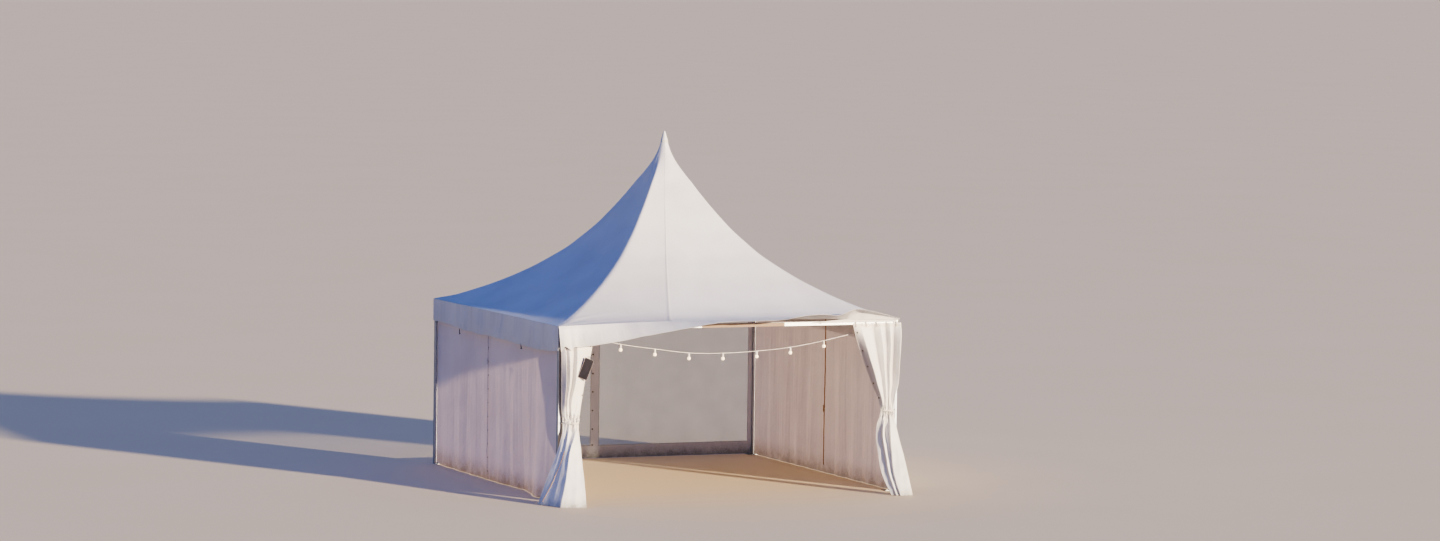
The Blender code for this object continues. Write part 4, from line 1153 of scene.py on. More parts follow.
def fold_profile(levels, lines, level, across):
    """How far the cloth stands out along one level, with its ridges and valleys rounded."""
    here = np.array([smooth_table(list(zip(levels, *line)), [level])[0] for line in lines])
    places = np.maximum.accumulate(here[:, 0] + 1e-4 * np.arange(len(lines)))
    total = np.zeros_like(across)
    weights = 0.0
    for shift in np.linspace(-2, 2, 17):
        weight = math.exp(-shift * shift / 2)
        total += weight * np.interp(across + shift * FOLD_ROUNDING, places, here[:, 1])
        weights += weight
    return total / weights


print(len(LEFT_LINES), "fold lines on the left and", len(RIGHT_LINES), "on the right")

# %% [markdown]
# ## Hanging the curtains
# Each level is a straight lay from the leg inwards, and the folds stand out from it.
# Finer folds and a crush run towards the gather. The hollows between folds are painted a
# little greyer, which is painted shade.

# %% Hang the curtains
def curtain_grid(table, levels, lines, sign, gathers, seed, columns, rows):
    """The grid of one curtain from its foot up, the shares across and up, and how deep each point lies in a
    hollow, which is painted as shade.
    """
    share = np.linspace(0.0, 1.0, rows)
    values = smooth_table(table, share)
    across = np.linspace(0.0, 1.0, columns)
    face = -FRAME - 0.0021
    draw = random.Random(seed)
    turns = [draw.uniform(0.0, 6.28) for _ in range(4)]
    grid, fold_shade = [], []
    for level, (outer_in, outer_out, inner_in, inner_out) in zip(share, values):
        z = CURTAIN_FOOT + (CURTAIN_TOP - CURTAIN_FOOT) * level
        a = np.array((sign * (HALF - outer_in), face - outer_out, z))
        b = np.array((sign * (HALF - inner_in), face - inner_out, z))
        lay = (b - a) / np.linalg.norm(b - a)
        normal = np.array((lay[1], -lay[0], 0.0)) * (1 if lay[0] > 0 else -1)
        gather = hill(level, GATHER_LEVEL, 0.055)
        head = math.exp(-((1.0 - level) / 0.03) ** 2)
        fine = np.sin(TURN * gathers * across + turns[0] + 9 * level)
        fine = fine + 0.6 * np.sin(TURN * gathers * 1.7 * across + turns[1] - 14 * level)
        hold = np.clip(np.minimum(across, 1 - across) * 12, 0.1, 1)
        wave = fold_profile(levels, lines, level, across) + (0.0085 * gather + 0.003 * head) * fine * hold
        puff = hill(level, 0.5, 0.011)
        puff += 0.7 * hill(level, 0.452, 0.01)
        wave = wave + 0.01 * puff * (1 + np.sin(9.0 * across + seed) * np.cos(23.0 * across)) * hold
        grid.append(a + (b - a) * across[:, None] + normal * wave[:, None])
        # How far each point lies below its neighbours; the hollows are painted greyer later, as painted
        # shade.
        near = np.array([wave[max(0, k - 14):k + 15].mean() for k in range(columns)])
        fold_shade.append(unit((near - wave) / 0.02) * hold)
    grid = np.array(grid)
    pinch = hill(share, GATHER_LEVEL, 0.03)
    pinch += 0.25 * hill(share, 0.97, 0.03)
    drawn = hill(share, GATHER_LEVEL, 0.1)[:, None]
    crush = soft_noise(grid, (0.04, 0.04, 0.028), seed) * 0.028 * pinch[:, None]
    crush = crush + soft_noise(grid, (0.034, 0.034, 0.11), seed + 2) * 0.012 * drawn
    crush = crush + soft_noise(grid, (0.09, 0.09, 0.22), seed + 1) * 0.009
    free = unit((1 - share) / 0.05)[:, None]
    grid[..., 1] = np.minimum(grid[..., 1] - crush * free, face)
    return grid, across, share, np.array(fold_shade)


def curtain(side, flat, wear_and_painted_shade, columns, *shape):
    """One curtain, with a greyer upright strip of painted shade at a given place and width across."""
    grid, across, share, fold_shade = curtain_grid(*shape, columns, 150)
    share = share[:, None]
    foot = unit(1 - grid[..., 2] / 0.14) ** 1.5
    selvedge = hill(across, 0.985, 0.01) + hill(across, 0.015, 0.01)
    band = unit(1 - np.abs(share - 0.985) / 0.012)
    upper = unit((share - 0.5) / 0.08) * unit((0.97 - share) / 0.1)
    # An upright band near one edge is painted greyer too: painted shade, like the hollows.
    painted_band_shade = np.exp(-((across - wear_and_painted_shade[0]) / wear_and_painted_shade[1]) ** 4) * upper
    piece = cloth_sheet(
        f"front_curtain_{side}", grid, curtain_cloth, "curtain_pvc", soil=0.5 * foot,
        hem=np.maximum(0.5 * band, 0.3 * selvedge), tone=unit(0.65 * fold_shade + 0.5 * painted_band_shade),
    )
    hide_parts(f"curtain_{side}")
    area = cloth_area(grid)
    print(piece.name, "area", round(area, 2), "square metres, flat", round(flat[0] * flat[1], 2))
    return grid


left_cloth = curtain(
    "left", (0.6, 2.32), (0.03, 0.1), 190, LEFT_CURTAIN, LEFT_LEVELS, LEFT_LINES, -1, 6, 5
)
right_cloth = curtain(
    "right", (0.62, 2.32), (0.945, 0.075), 200, RIGHT_CURTAIN, RIGHT_LEVELS, RIGHT_LINES, 1, 7, 8
)

# %% [markdown]
# ## Bare metals
# The frame is aluminium, drawn through a die and anodised: a dull silver with fine lines
# along its length and scuffs where it is handled. Blocks and fittings are steel dipped
# in molten zinc, which freezes in pale and dark flakes called spangle. Stay cables are
# drawn steel wires laid in strands, and eyelets are pressed brass gone dull outdoors. The
# die lines are really 0.2 mm apart and are drawn at 2 mm so that they show.

# %% Metal finishes
def metal(name, colour, dark, roughness, scale, stretch, depth):
    """A bare metal: clouds of two tones, scuffs that grey and roughen it, and a fine relief."""
    material, tree, output, metres = new_material(name)
    laid = add_node(tree, "Mapping", {"Vector": metres}, {"Scale": stretch})
    clouds, tones = clouded(tree, laid.outputs["Vector"], scale, 5.0, (dark, colour), (0.32, 0.6))
    scuffed = {"Scale": 9.0, "Detail": 7.0}
    scuffs = add_node(tree, "TexNoise", {"Vector": metres}, scuffed).outputs["Fac"]
    wear_and_painted_shade = blended(tree, combined(tree, "MULTIPLY", scuffs, 0.3), tones, hex_colour("#8A8B8A"))
    ends = {"From Min": 0.3, "From Max": 0.7, "To Min": roughness - 0.06, "To Max": roughness + 0.1}
    sheen = add_node(tree, "MapRange", {"Value": scuffs}, ends)
    links = {"Base Color": wear_and_painted_shade, "Roughness": sheen.outputs["Result"]}
    surface(tree, output, links, {"Metallic": 1.0}, clouds, 0.4, depth)
    return material


EVEN = (1, 1, 1)
upright_metal, beam_metal, zinc, wire_steel, brass = (
    metal(*settings)
    for settings in (
        # The aluminium of the uprights and the mast is a bluer, darker copy of the beams': painted shade,
        # for legs that stand in shade.
        ("aluminium_extruded_anodised_upright", "#C2C8D2", "#AEB4C0", 0.36, 60.0, (8, 8, 0.2), 0.0004),
        ("aluminium_extruded_anodised_beam", "#D4D6D8", "#C0C3C6", 0.36, 90.0, (1, 1, 6), 0.0004),
        ("steel_hot_dip_galvanised", "#B6BABC", "#8F9496", 0.42, 70.0, EVEN, 0.0006),
        ("steel_wire_drawn_stranded", "#A9ABAD", "#7F8284", 0.38, 240.0, EVEN, 0.0003),
        ("brass_eyelet_pressed", "#9A8A5A", "#6E6348", 0.4, 120.0, EVEN, 0.0003),
    )
)
print("5 metals made")

# %% [markdown]
# ## Rope, webbing, canvas and board
# Rope is laid and webbing is woven, and both show as slanting light and dark yarns with
# a soft, matte surface. A wave pattern gives the yarns, set from their real pitch, and a
# little sheen gives the fuzz. The board is thin plywood under matte slate paint, which
# chalk and a wiping cloth leave cloudy, with a trim of stained pine whose grain runs up.

# %% Rope, webbing and board finishes
def fibre(name, bright, dark, pitch_mm):
    """Twisted or woven fibre: slanting light and dark yarns with a soft surface."""
    material, tree, output, metres = new_material(name)
    spun = {"Scale": 1000.0 / pitch_mm / 6.28, "Distortion": 1.5, "Detail": 2.0}
    wave = add_node(tree, "TexWave", {"Vector": metres}, spun, bands_direction="DIAGONAL")
    yarns = wave.outputs["Fac"]
    dirt = add_node(tree, "TexNoise", {"Vector": metres}, {"Scale": 22.0, "Detail": 5.0})
    tones = blended(tree, yarns, hex_colour(dark), hex_colour(bright))
    tones = blended(tree, combined(tree, "MULTIPLY", dirt.outputs["Fac"], 0.5), tones, hex_colour(dark))
    values = {"Roughness": 0.85, "IOR": 1.5, "Sheen Weight": 0.25}
    surface(tree, output, {"Base Color": tones}, values, yarns, 0.8, 0.001)
    return material


white_webbing = fibre("polyester_webbing_woven", "#EFEBE2", "#D2CCC0", 6.0)
tan_rope = fibre("polypropylene_rope_laid_tan", "#C9A47E", "#9A7A5C", 10.0)
dark_rope_and_hole_shade = fibre("polypropylene_rope_laid_dark_and_hole_shade", "#5C5A60", "#34333A", 10.0)
grey_rope = fibre("polypropylene_rope_laid_grey", "#C9C5CC", "#A5A1AC", 10.0)
# The tan canvas is only used for the strip on the front beam, where it is painted shade.
tan_canvas_painted_shade = fibre("cotton_canvas_tan_painted_shade", "#AB9785", "#9D8B7C", 5.0)

slate, tree, output, metres = new_material("plywood_board_slate_painted")
wiped = clouded(tree, metres, 18.0, 7.0, ("#17131E", "#282232"), (0.3, 0.75))[1]
grit = add_node(tree, "TexNoise", {"Vector": metres}, {"Scale": 400.0, "Detail": 2.0})
paint = {"Roughness": 0.72, "IOR": 1.5}
surface(tree, output, {"Base Color": wiped}, paint, grit.outputs["Fac"], 0.4, 0.0004)

stained_wood, tree, output, metres = new_material("pine_trim_stained")
laid = add_node(tree, "Mapping", {"Vector": metres}, {"Scale": (60.0, 60.0, 9.0)})
grain, tones = clouded(tree, laid.outputs["Vector"], 1.0, 5.0, ("#6F6468", "#9C8D90"))
surface(tree, output, {"Base Color": tones}, {"Roughness": 0.55, "IOR": 1.5}, grain, 0.5, 0.0006)
print("5 fibres, a slate paint and a stained pine made")

# %% [markdown]
# ## Extrusions and blocks
# Frame parts come out of a die or a mould. The first helper carries a flat outline
# straight through space, as a die does. The second is a block whose edges are softened,
# because a sharp edge never catches the light as a real one does.

# %% Frame helpers
def tent_piece(name, parts, materials, smooth_angle=40.0):
    """A piece whose parts are measured from the middle of the legs."""
    parts = [(placed([tuple(p) for p in points]), *rest) for points, *rest in parts]
    return finished_piece(name, parts, materials, smooth_angle)


def in_second(parts):
    """The same parts in the piece's second material."""
    return [(*part, 1) for part in parts]


def extrusion(outline, start, end, right, up):
    """An outline of (right, up) pairs carried straight from start to end."""
    start, end, right, up = (Vector(v) for v in (start, end, right, up))
    count = len(outline)
    points = [at + right * a + up * b for at in (start, end) for a, b in outline]
    faces = [tuple(reversed(range(count))), tuple(range(count, 2 * count))]
    faces += [(j, (j + 1) % count, (j + 1) % count + count, j + count) for j in range(count)]
    if right.cross(up).dot(end - start) < 0:
        faces = [tuple(reversed(face)) for face in faces]
    return points, faces


def rounded_block(low, high, edge):
    """A block with softened edges."""
    shape = bmesh.new()
    bmesh.ops.create_cube(shape, size=1.0)
    low, high = Vector(low), Vector(high)
    for corner in shape.verts:
        corner.co = [low[k] + (high[k] - low[k]) * (corner.co[k] + 0.5) for k in range(3)]
    bmesh.ops.bevel(shape, geom=shape.edges[:], offset=edge, segments=2, profile=0.7, affect="EDGES")
    shape.verts.ensure_lookup_table()
    points = [corner.co.copy() for corner in shape.verts]
    faces = [tuple(corner.index for corner in face.verts) for face in shape.faces]
    shape.free()
    return points, faces


print("a softened block has", len(rounded_block((0, 0, 0), (1, 1, 1), 0.1)[1]), "faces")

# %% [markdown]
# ## Legs
# Each leg is a square tube of extruded aluminium with a groove down the middle of every
# face, which takes clamps and the walls' edging. It is welded to a flat steel plate that
# two pegs hold to the ground, and a locking pin goes through it where the upper part
# slides in. The outline is drawn once and extruded, as the die does it.

# %% Stand the legs
LEG_FOOT, PLATE, GROOVE = 0.008, 0.15, 0.008


def grooved(wide, tall, groove, corner):
    """The outline of a box section with a groove down the middle of each face."""
    a, b, g = wide / 2, tall / 2, groove / 2
    half = [
        (-a + corner, -b), (-g, -b), (-g, -b + GROOVE), (g, -b + GROOVE), (g, -b), (a - corner, -b),
        (a, -b + corner), (a, -g), (a - GROOVE, -g), (a - GROOVE, g), (a, g), (a, b - corner),
    ]
    return half + [(-x, -y) for x, y in half]


def bolt(at, facing, radius, tall):
    """A hexagon head with a round washer under it, on a face that looks along facing."""
    turn = Vector((0, 0, 1)).rotation_difference(Vector(facing)).to_matrix()
    washer = turned_shape([(radius * 1.5, 0.0), (radius * 1.5, tall * 0.25)], at, 16, turn)
    head_at = Vector(at) + Vector(facing) * tall * 0.25
    rim = [(radius, 0.0), (radius, tall * 0.6), (radius * 0.8, tall * 0.75)]
    return [washer, turned_shape(rim, head_at, 6, turn)]


def leg(corner, sx, sy):
    """One leg on its foot plate, with its welds, pegs and pins."""
    middle = Vector((sx * BEAM_MID, sy * BEAM_MID, 0.0))
    foot, top = (middle + Vector((0, 0, z)) for z in (LEG_FOOT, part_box(f"leg_{corner}")[1].z))
    post = extrusion(grooved(POST, POST, 0.01, 0.003), foot, top, (1, 0, 0), (0, 1, 0))
    xs, ys = (sorted((sign * FRAME, sign * (FRAME - PLATE))) for sign in (sx, sy))
    steel = [rounded_block((xs[0], ys[0], 0.0), (xs[1], ys[1], LEG_FOOT), 0.0015)]
    for axis, x, y in (("X", -sx * POST / 2, 0.0), ("Y", 0.0, -sy * POST / 2)):
        lying = Matrix.Rotation(math.pi / 2, 3, axis)
        steel.append(turned_shape([(0.0075, -0.03), (0.0075, 0.03)], foot + Vector((x, y, 0)), 8, lying))
    for x, y in ((0.118, 0.032), (0.032, 0.118)):
        steel += bolt((sx * (FRAME - x), sy * (FRAME - y), LEG_FOOT), (0, 0, 1), 0.011, 0.014)
    for z in (0.78, 1.14, 1.6):
        steel += bolt((middle.x - sx * (POST / 2 - GROOVE), middle.y, z), (-sx, 0, 0), 0.006, 0.005)
    for z in (1.12, 1.62):
        steel += bolt((sx * (FRAME - GROOVE), middle.y, z), (sx, 0, 0), 0.0075, 0.008)
    parts = [post] + in_second(steel)
    piece = tent_piece(f"upright_{corner}", parts, [upright_metal, zinc], 30.0)
    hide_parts(f"leg_{corner}")
    return piece


SIGNS = {"front_left": (-1, -1), "front_right": (1, -1), "rear_left": (-1, 1), "rear_right": (1, 1)}
legs = [leg(corner, *SIGNS[corner]) for corner in CORNERS]
print(len(legs), "legs of", len(legs[0].data.polygons), "faces")

# %% [markdown]
# ## Eave beams and corner blocks
# The beams are the same kind of extrusion, with a narrow track low on the outer face
# that the wall's head slides in. Cast and galvanised corner blocks join them. A plate
# points from each block to the middle of the tent and carries the stay cable, and bolts
# clamp the beams' ends.

# %% Lay the beams
BLOCK = 0.0748
PLATE_REACH = BLOCK / math.sqrt(2) + 0.065


def beam(node, axis, sign):
    """An eave beam along x (axis 0) or y (axis 1). sign says which side it is on."""
    low, high = (np.array(corner) - np.array(CENTRE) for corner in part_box(node))
    tall = high[2] - low[2]
    track = [(-0.0265, 0.0), (-0.0265, 0.006), (-0.0215, 0.006), (-0.0215, 0.0)]
    outline = grooved(POST, tall, 0.009, 0.003)
    outline[1:1] = [(x, up - tall / 2) for x, up in track]
    ends = [(low + high) / 2, (low + high) / 2]
    ends[0][axis], ends[1][axis] = low[axis], high[axis]
    facing = np.zeros(3)
    facing[1 - axis] = -sign
    steel = []
    for share in (0.03, 0.5, 0.97):
        at = ends[0] + (ends[1] - ends[0]) * share + facing * (POST / 2 - GROOVE)
        steel += bolt(at, facing, 0.0065, 0.006)
    parts = [extrusion(outline, *ends, facing, (0, 0, 1))] + in_second(steel)
    piece = tent_piece(f"{node}_section", parts, [beam_metal, zinc], 30.0)
    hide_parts(node)


def on_face(axis, reach, middle, z, facing):
    """A bolt's place and direction on a block's face that looks along one axis."""
    at, look = Vector(middle), Vector((0, 0, 0))
    at[axis], at.z, look[axis] = reach, z, facing
    return at, look


def corner_block(corner, sx, sy):
    """A corner block with the plate for its stay cable and the bolts that clamp the beams."""
    low, high = local_box(f"bracket_{corner}")
    signs = (sx, sy)
    outer = Vector((sx * FRAME, sy * FRAME, 0))
    inner = outer - Vector((sx * BLOCK, sy * BLOCK, 0))
    middle = (outer + inner) / 2
    near = (min(outer.x, inner.x), min(outer.y, inner.y), low.z)
    far = (max(outer.x, inner.x), max(outer.y, inner.y), high.z)
    inward = Vector((-sx, -sy, 0)).normalized()
    half_thick = Vector((-inward.y, inward.x, 0)) * 0.003
    top, foot, nose = BEAM_TOP - 0.012, BEAM_TOP - 0.042, PLATE_REACH - 0.012
    outline = [
        (0.0, foot), (nose, foot), (PLATE_REACH, foot + 0.01), (PLATE_REACH, top - 0.01), (nose, top),
        (0.0, top),
    ]
    plate = extrusion(outline, middle - half_thick, middle + half_thick, inward, (0, 0, 1))
    parts = [rounded_block(near, far, 0.006), plate]
    for axis in (0, 1):
        beside = Vector(middle)
        beside[1 - axis] += signs[1 - axis] * 0.018
        for up in (0.014, 0.042):
            place = on_face(axis, inner[axis], beside, low.z + up, -signs[axis])
            parts += bolt(*place, 0.006, 0.006)
    for axis in (0, 1):
        reach = outer[axis] - signs[axis] * 0.0065
        parts += bolt(*on_face(axis, reach, middle, low.z + 0.028, signs[axis]), 0.007, 0.006)
    piece = tent_piece(f"corner_block_{corner}", parts, [zinc], 30.0)
    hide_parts(f"bracket_{corner}")


for side, axis, sign in (("front", 0, -1), ("rear", 0, 1), ("left", 1, -1), ("right", 1, 1)):
    beam(f"eave_beam_{side}", axis, sign)
for corner in CORNERS:
    corner_block(corner, *SIGNS[corner])
print("4 beams and 4 corner blocks")

# %% [markdown]
# ## The king pole
# No post stands on the ground. A short mast hangs in the middle instead, on four wire
# ropes from the corner blocks, and pushes the peak up. Its foot is a square block. Both
# are turned shapes, the block with only four sides.

# %% Hang the king pole
pole_low, pole_high = local_box("king_pole")
foot_low, foot_top = pole_low.z, pole_low.z + 0.07
diagonal = 0.1 / math.sqrt(2)
foot_profile = [
    (diagonal - 0.006, foot_low), (diagonal, foot_low + 0.006), (diagonal, foot_top - 0.006),
    (diagonal - 0.006, foot_top),
]
mast_profile = [
    (0.04, foot_top), (0.04, foot_top + 0.01), (0.034, foot_top + 0.016), (0.03, foot_top + 0.018),
    (0.03, 3.4), (0.0335, 3.402), (0.0335, 3.438), (0.03, 3.44), (0.0275, 3.4405), (0.0275, 4.6),
    (0.03, 4.602), (0.03, pole_high.z - 0.004), (0.028, pole_high.z),
]
bolts = []
for k in range(4):
    angle = math.pi / 4 + k * math.pi / 2
    facing = Vector((math.cos(angle), math.sin(angle), 0))
    side = Vector((-facing.y, facing.x, 0)) * 0.03
    for up in (0.015, 0.055):
        for way in (-1, 1):
            at = facing * 0.0499 + side * way + Vector((0, 0, foot_low + up))
            bolts += bolt(at, facing, 0.005, 0.004)
bolts += bolt((0.033, 0, 3.42), (1, 0, 0), 0.006, 0.008)
origin = (0, 0, 0)
pole_parts = [turned_shape(mast_profile, origin, 28)]
pole_parts += in_second([turned_shape(foot_profile, origin, 4)] + bolts)
pole = tent_piece("king_pole_mast", pole_parts, [upright_metal, zinc], 30.0)
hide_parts("king_pole")
print("the mast ends", round(PEAK - pole_high.z, 3), "m under the peak")

# %% [markdown]
# ## The stay ropes
# Every rope has a turnbuckle at the outer end to tighten it, a pressed sleeve at the inner
# one, and a closed eye at both. The rope is a six-lobed tube that twists as it runs,
# which is how laid strands read from a few metres off.

# %% Tighten the stay ropes
def ring_path(middle, radius, a, b, count, long=1.0):
    """A closed ring in the plane of a and b, long times as wide along a."""
    a, b = Vector(a) * radius * long, Vector(b) * radius
    turns = [TURN * k / count for k in range(count)]
    return [Vector(middle) + a * math.cos(t) + b * math.sin(t) for t in turns]


def ring_wire(middle, radius, a, b, count, thick, sides=8, long=1.0):
    """A closed ring of wire or cord."""
    return tube(ring_path(middle, radius, a, b, count, long), thick, sides, closed=True)


def laid_rope(start, end, radius, pitch):
    """A straight rope whose six-lobed outline twists on its way."""
    ahead = (end - start).normalized()
    side = ahead.orthogonal().normalized()
    up = ahead.cross(side)
    turns = max(2, int((end - start).length / pitch * 8))
    sides = 12
    points = []
    for k in range(turns + 1):
        at = start.lerp(end, k / turns)
        for j in range(sides):
            a = TURN * j / sides + TURN * k / 8
            out = radius * (1.0 if j % 2 == 0 else 0.8)
            points.append(at + (side * math.cos(a) + up * math.sin(a)) * out)
    return points, ring_faces(turns + 1, sides)


def stay(corner, sx, sy):
    """A taut wire rope with its thimbles, sleeves and turnbuckle."""
    out = Vector((sx, sy, 0)).normalized()
    side = Vector((-out.y, out.x, 0))
    outer = out * ((FRAME - BLOCK / 2) * math.sqrt(2) - PLATE_REACH) + Vector((0, 0, BEAM_TOP - 0.027))
    inner = out * 0.0502 + Vector((0, 0, (foot_low + foot_top) / 2))
    ahead = (inner - outer).normalized()
    up = ahead.cross(side).normalized()
    body = outer + ahead * 0.025
    rope_start, rope_end = body + ahead * 0.205, inner - ahead * 0.06
    parts = [
        ring_wire(at, 0.009, ahead, up, 16, 0.003, 8, long)
        for at, long in (
            (outer + ahead * 0.004, 1.3), (body + ahead * 0.182, 1.5), (rope_end + ahead * 0.02, 1.6)
        )
    ]
    rods = [(body + side * way * 0.0045, 0.02, 0.12, 0.0028, 8) for way in (-1, 1)]
    rods += [(body, t, t + 0.016, 0.0085, 10) for t in (0.018, 0.12)]
    rods += [
        (outer, 0.014, 0.08, 0.0032, 8), (body, 0.088, 0.17, 0.0032, 8),
        (rope_start, -0.006, 0.028, 0.0058, 10), (rope_end, -0.028, 0.006, 0.0058, 10),
        (rope_end, 0.03, 0.064, 0.0042, 10),
    ]
    for at, start, end, radius, sides in rods:
        parts.append(tube([at + ahead * start, at + ahead * end], radius, sides))
    parts += in_second([laid_rope(rope_start, rope_end, 0.004, 0.05)])
    piece = tent_piece(f"stay_rope_{corner}", parts, [zinc, wire_steel])
    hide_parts(f"stay_cable_{corner}")
    return (rope_end - rope_start).length


lengths = [stay(corner, *SIGNS[corner]) for corner in CORNERS]
print("stay ropes", round(lengths[0], 2), "m each")

# %% [markdown]
# ## The peak cap
# A small sewn cone of the same cloth covers the hole at the top of the roof and keeps
# rain out. It is one flat cut piece rolled into a cone, so it has one seam and a double
# hem, and it shows faint rings where it is pulled down over the pole.

# %% Sew the cap
CAP_CLOTH = 0.0016
cap_low, cap_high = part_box("peak_cap")
cap_wide = (cap_high.x - cap_low.x) / 2 - 0.001
cap_tall = cap_high.z - 0.0015 - cap_low.z
radii = (cap_wide, cap_wide - 0.002, 0.031, 0.0125, 0.0085, 0.002)
turns = np.linspace(0, TURN, 72, endpoint=False)
cap_rows = np.linspace(0, 1, 26)
cap_grid = []
for t in cap_rows:
    radius = np.interp(t, (0.0, 0.06, 0.5, 0.9, 0.97, 1.0), radii)
    radius = radius + 0.0008 * np.sin(7 * turns + 5 * t) * (1 - t) + 0.0006 * math.sin(40 * t)
    z = cap_low.z + cap_tall * np.interp(t, (0, 0.97, 1.0), (0.0, 0.985, 1.0))
    cap_grid.append(grid_of(radius * np.cos(turns), radius * np.sin(turns), z))
cap_grid = np.array(cap_grid)
cap_hem = np.where(cap_rows < 0.14, 0.5, 0.0)[:, None] + 0.6 * hill(turns, math.pi, 0.1)
cap_hem = np.minimum(cap_hem, 0.8)
cap = cloth_sheet("peak_cone", cap_grid, roof_cloth, "roof_pvc", wrap=True, thick=CAP_CLOTH, hem=cap_hem)
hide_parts("peak_cap")

# %% [markdown]
# ## Hooks for the festoon cord
# The cord hangs from two wire hooks screwed up into the front beam. Bent wire is one
# tube along a bent path. Each hook ends in a closed eye round the cord, so that the wind
# can't lift the cord out.

# %% Bend the hooks
HOOK_WIRE = 0.0026


def wire(points, count, radius, sides=8):
    """A tube bent smoothly through a few points."""
    return tube(smooth_path(points, count), radius, sides)


def hook(node, cord_end):
    """A cup, a bent wire and a closed eye round the cord's end."""
    low, high = local_box(node)
    x = (low.x + high.x) / 2
    eye = Vector(cord_end) - CENTRE
    bend = eye.z + 0.022
    start = Vector((x, -BEAM_MID, BEAM_FOOT - JOINT_GAP))
    route = [
        start, start - Vector((0, 0, 0.01)), (x, -BEAM_MID + 0.006, bend + 0.006),
        (x, (eye.y - BEAM_MID) / 2, bend), (x, eye.y - 0.01, bend),
    ]
    path = smooth_path(route, 26)
    ring = ring_path((x, eye.y, eye.z), 0.0092, (0, 1, 0), (0, 0, 1), 20)
    last = Vector(path[-1])
    parts = [
        tube(path, HOOK_WIRE),
        wire([last, last + Vector((0, 0.006, -0.003)), ring[5]], 8, HOOK_WIRE),
        tube(ring, HOOK_WIRE, closed=True),
        turned_shape([(0.005, -0.004), (0.0085, -0.0035), (0.0085, 0.0)], start, 16),
    ]
    piece = tent_piece(f"{node}_wire", parts, [zinc])
    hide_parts(node)


hook("festoon_hook_left", cord_path[0])
hook("festoon_hook_right", cord_path[-1])
print("2 hooks")

# %% [markdown]
# ## The soft bands round the curtains
# A strip of webbing is passed round each gathered curtain and tied. It follows the
# bunched cloth, so its path is taken from the curtain's own points at that height: the
# outermost points of the folds, pulled tight like a string round a bundle. A short end
# goes back to an eye on the leg, and two tails hang from the knot.

# %% Tie the bands
BAND_TALL, BAND_THICK = 0.026, 0.0016


def tight_loop(points, room):
    """The line that a string takes round a bundle of (x, y) points, moved out by room."""
    rows = sorted({(round(float(x), 5), round(float(y), 5)) for x, y in points})
    hull = []
    for run in (rows, rows[::-1]):
        part = []
        for p in run:
            while len(part) > 1 and np.cross(np.subtract(part[-1], part[-2]), np.subtract(p, part[-2])) <= 0:
                part.pop()
            part.append(p)
        hull += part[:-1]
    closed = np.array(hull + hull[:1])
    lengths = np.concatenate(([0.0], np.cumsum(np.linalg.norm(np.diff(closed, axis=0), axis=1))))
    even = np.linspace(0, lengths[-1], 96, endpoint=False)
    line = np.stack([np.interp(even, lengths, closed[:, k]) for k in (0, 1)], axis=1)
    for _ in range(3):
        line = (np.roll(line, 1, axis=0) + 2 * line + np.roll(line, -1, axis=0)) / 4
    out = line - np.mean(hull, axis=0)
    return line + out / np.linalg.norm(out, axis=1, keepdims=True) * room


def band_grid(line, z, slant, seed):
    """A closed strip of webbing round a bundle, with small crumples."""
    turn = np.linspace(0, TURN, len(line), endpoint=False)
    out = line - line.mean(axis=0)
    out = out / np.linalg.norm(out, axis=1, keepdims=True)
    grid = []
    for t in np.linspace(-0.5, 0.5, 9):
        width = BAND_TALL * (0.82 + 0.18 * np.sin(2 * turn + seed))
        z_line = z + t * width + slant * np.cos(turn + 0.6)
        push = 0.0016 * np.cos(t * 3.1) + 0.001 * np.sin(9 * turn + 8 * t + seed)
        grid.append(np.column_stack((line + out * push[:, None], z_line)))
    return np.array(grid)


def tie(side, cloth, sign, seed):
    """A band, its knot and tails, and the eye on the leg that holds it."""
    low, high = local_box(f"tie_{side}")
    z = (low.z + high.z) / 2
    bundle = cloth[np.abs(cloth[:, 0, 2] - z) < 0.02][..., :2].reshape(-1, 2)
    line = tight_loop(bundle, 0.0045)
    line[:, 1] = np.minimum(line[:, 1], -FRAME - 0.0015)
    name = f"curtain_band_{side}"
    grid = band_grid(line, z, 0.005, seed)
    band = cloth_sheet(name, grid, white_webbing, "webbing", wrap=True, thick=BAND_THICK)
    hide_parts(f"tie_{side}")
    front = line[np.argmin(line[:, 1] + 0.4 * np.abs(line[:, 0] - line[:, 0].mean()))]
    knot_at = Vector((front[0], front[1] - 0.004, z))
    draw = random.Random(seed)
    parts = []
    for _ in range(3):
        lean = Vector((draw.uniform(-1, 1), 0.25, draw.uniform(-1, 1))).normalized()
        across = lean.cross(Vector((0, 1, 0))).normalized()
        parts.append(ring_wire(knot_at, 0.0085, lean, across, 16, 0.0042, 8, 1.35))
    for way in (-1, 1):
        steps = ((0, 0, 0), (0.01 * way, -0.008, -0.01), (0.016 * way, -0.01, -0.045),
                 (0.011 * way, -0.016, -0.085 - 0.02 * way))
        parts.append(wire([knot_at + Vector(step) for step in steps], 18, 0.0034))
    eye_at = Vector((sign * BEAM_MID, -FRAME - 0.0005, z))
    back = min((Vector((p[0], p[1], z)) for p in line), key=lambda p: (p - eye_at).length)
    slack = (back + eye_at) / 2 - Vector((0, 0.012, 0.006))
    parts.append(wire([back, slack, eye_at - Vector((0, 0.012, 0))], 14, 0.0036))
    ring_at = eye_at - Vector((0, 0.01, 0))
    steel = [ring_wire(ring_at, 0.0085, (0, 1, 0), (0, 0, 1), 18, 0.002)]
    steel += bolt(eye_at + Vector((0, 0.008, 0)), (0, -1, 0), 0.0045, 0.01)
    tent_piece(f"{name}_knot", parts + in_second(steel), [white_webbing, zinc])


tie("left", left_cloth, -1, 3)
tie("right", right_cloth, 1, 4)

# %% [markdown]
# ## Loops, eyelets and edge rope on the curtains
# The head of each curtain hangs from short loops over the beam's lower edge, and brass
# eyelets run down its loose edge, where it would be laced to the next panel. A rope is
# sewn into the left curtain's edge and wanders over the shaded half near the ground. All
# are placed on the curtain's own grid, so they stay on the cloth when its folds change.

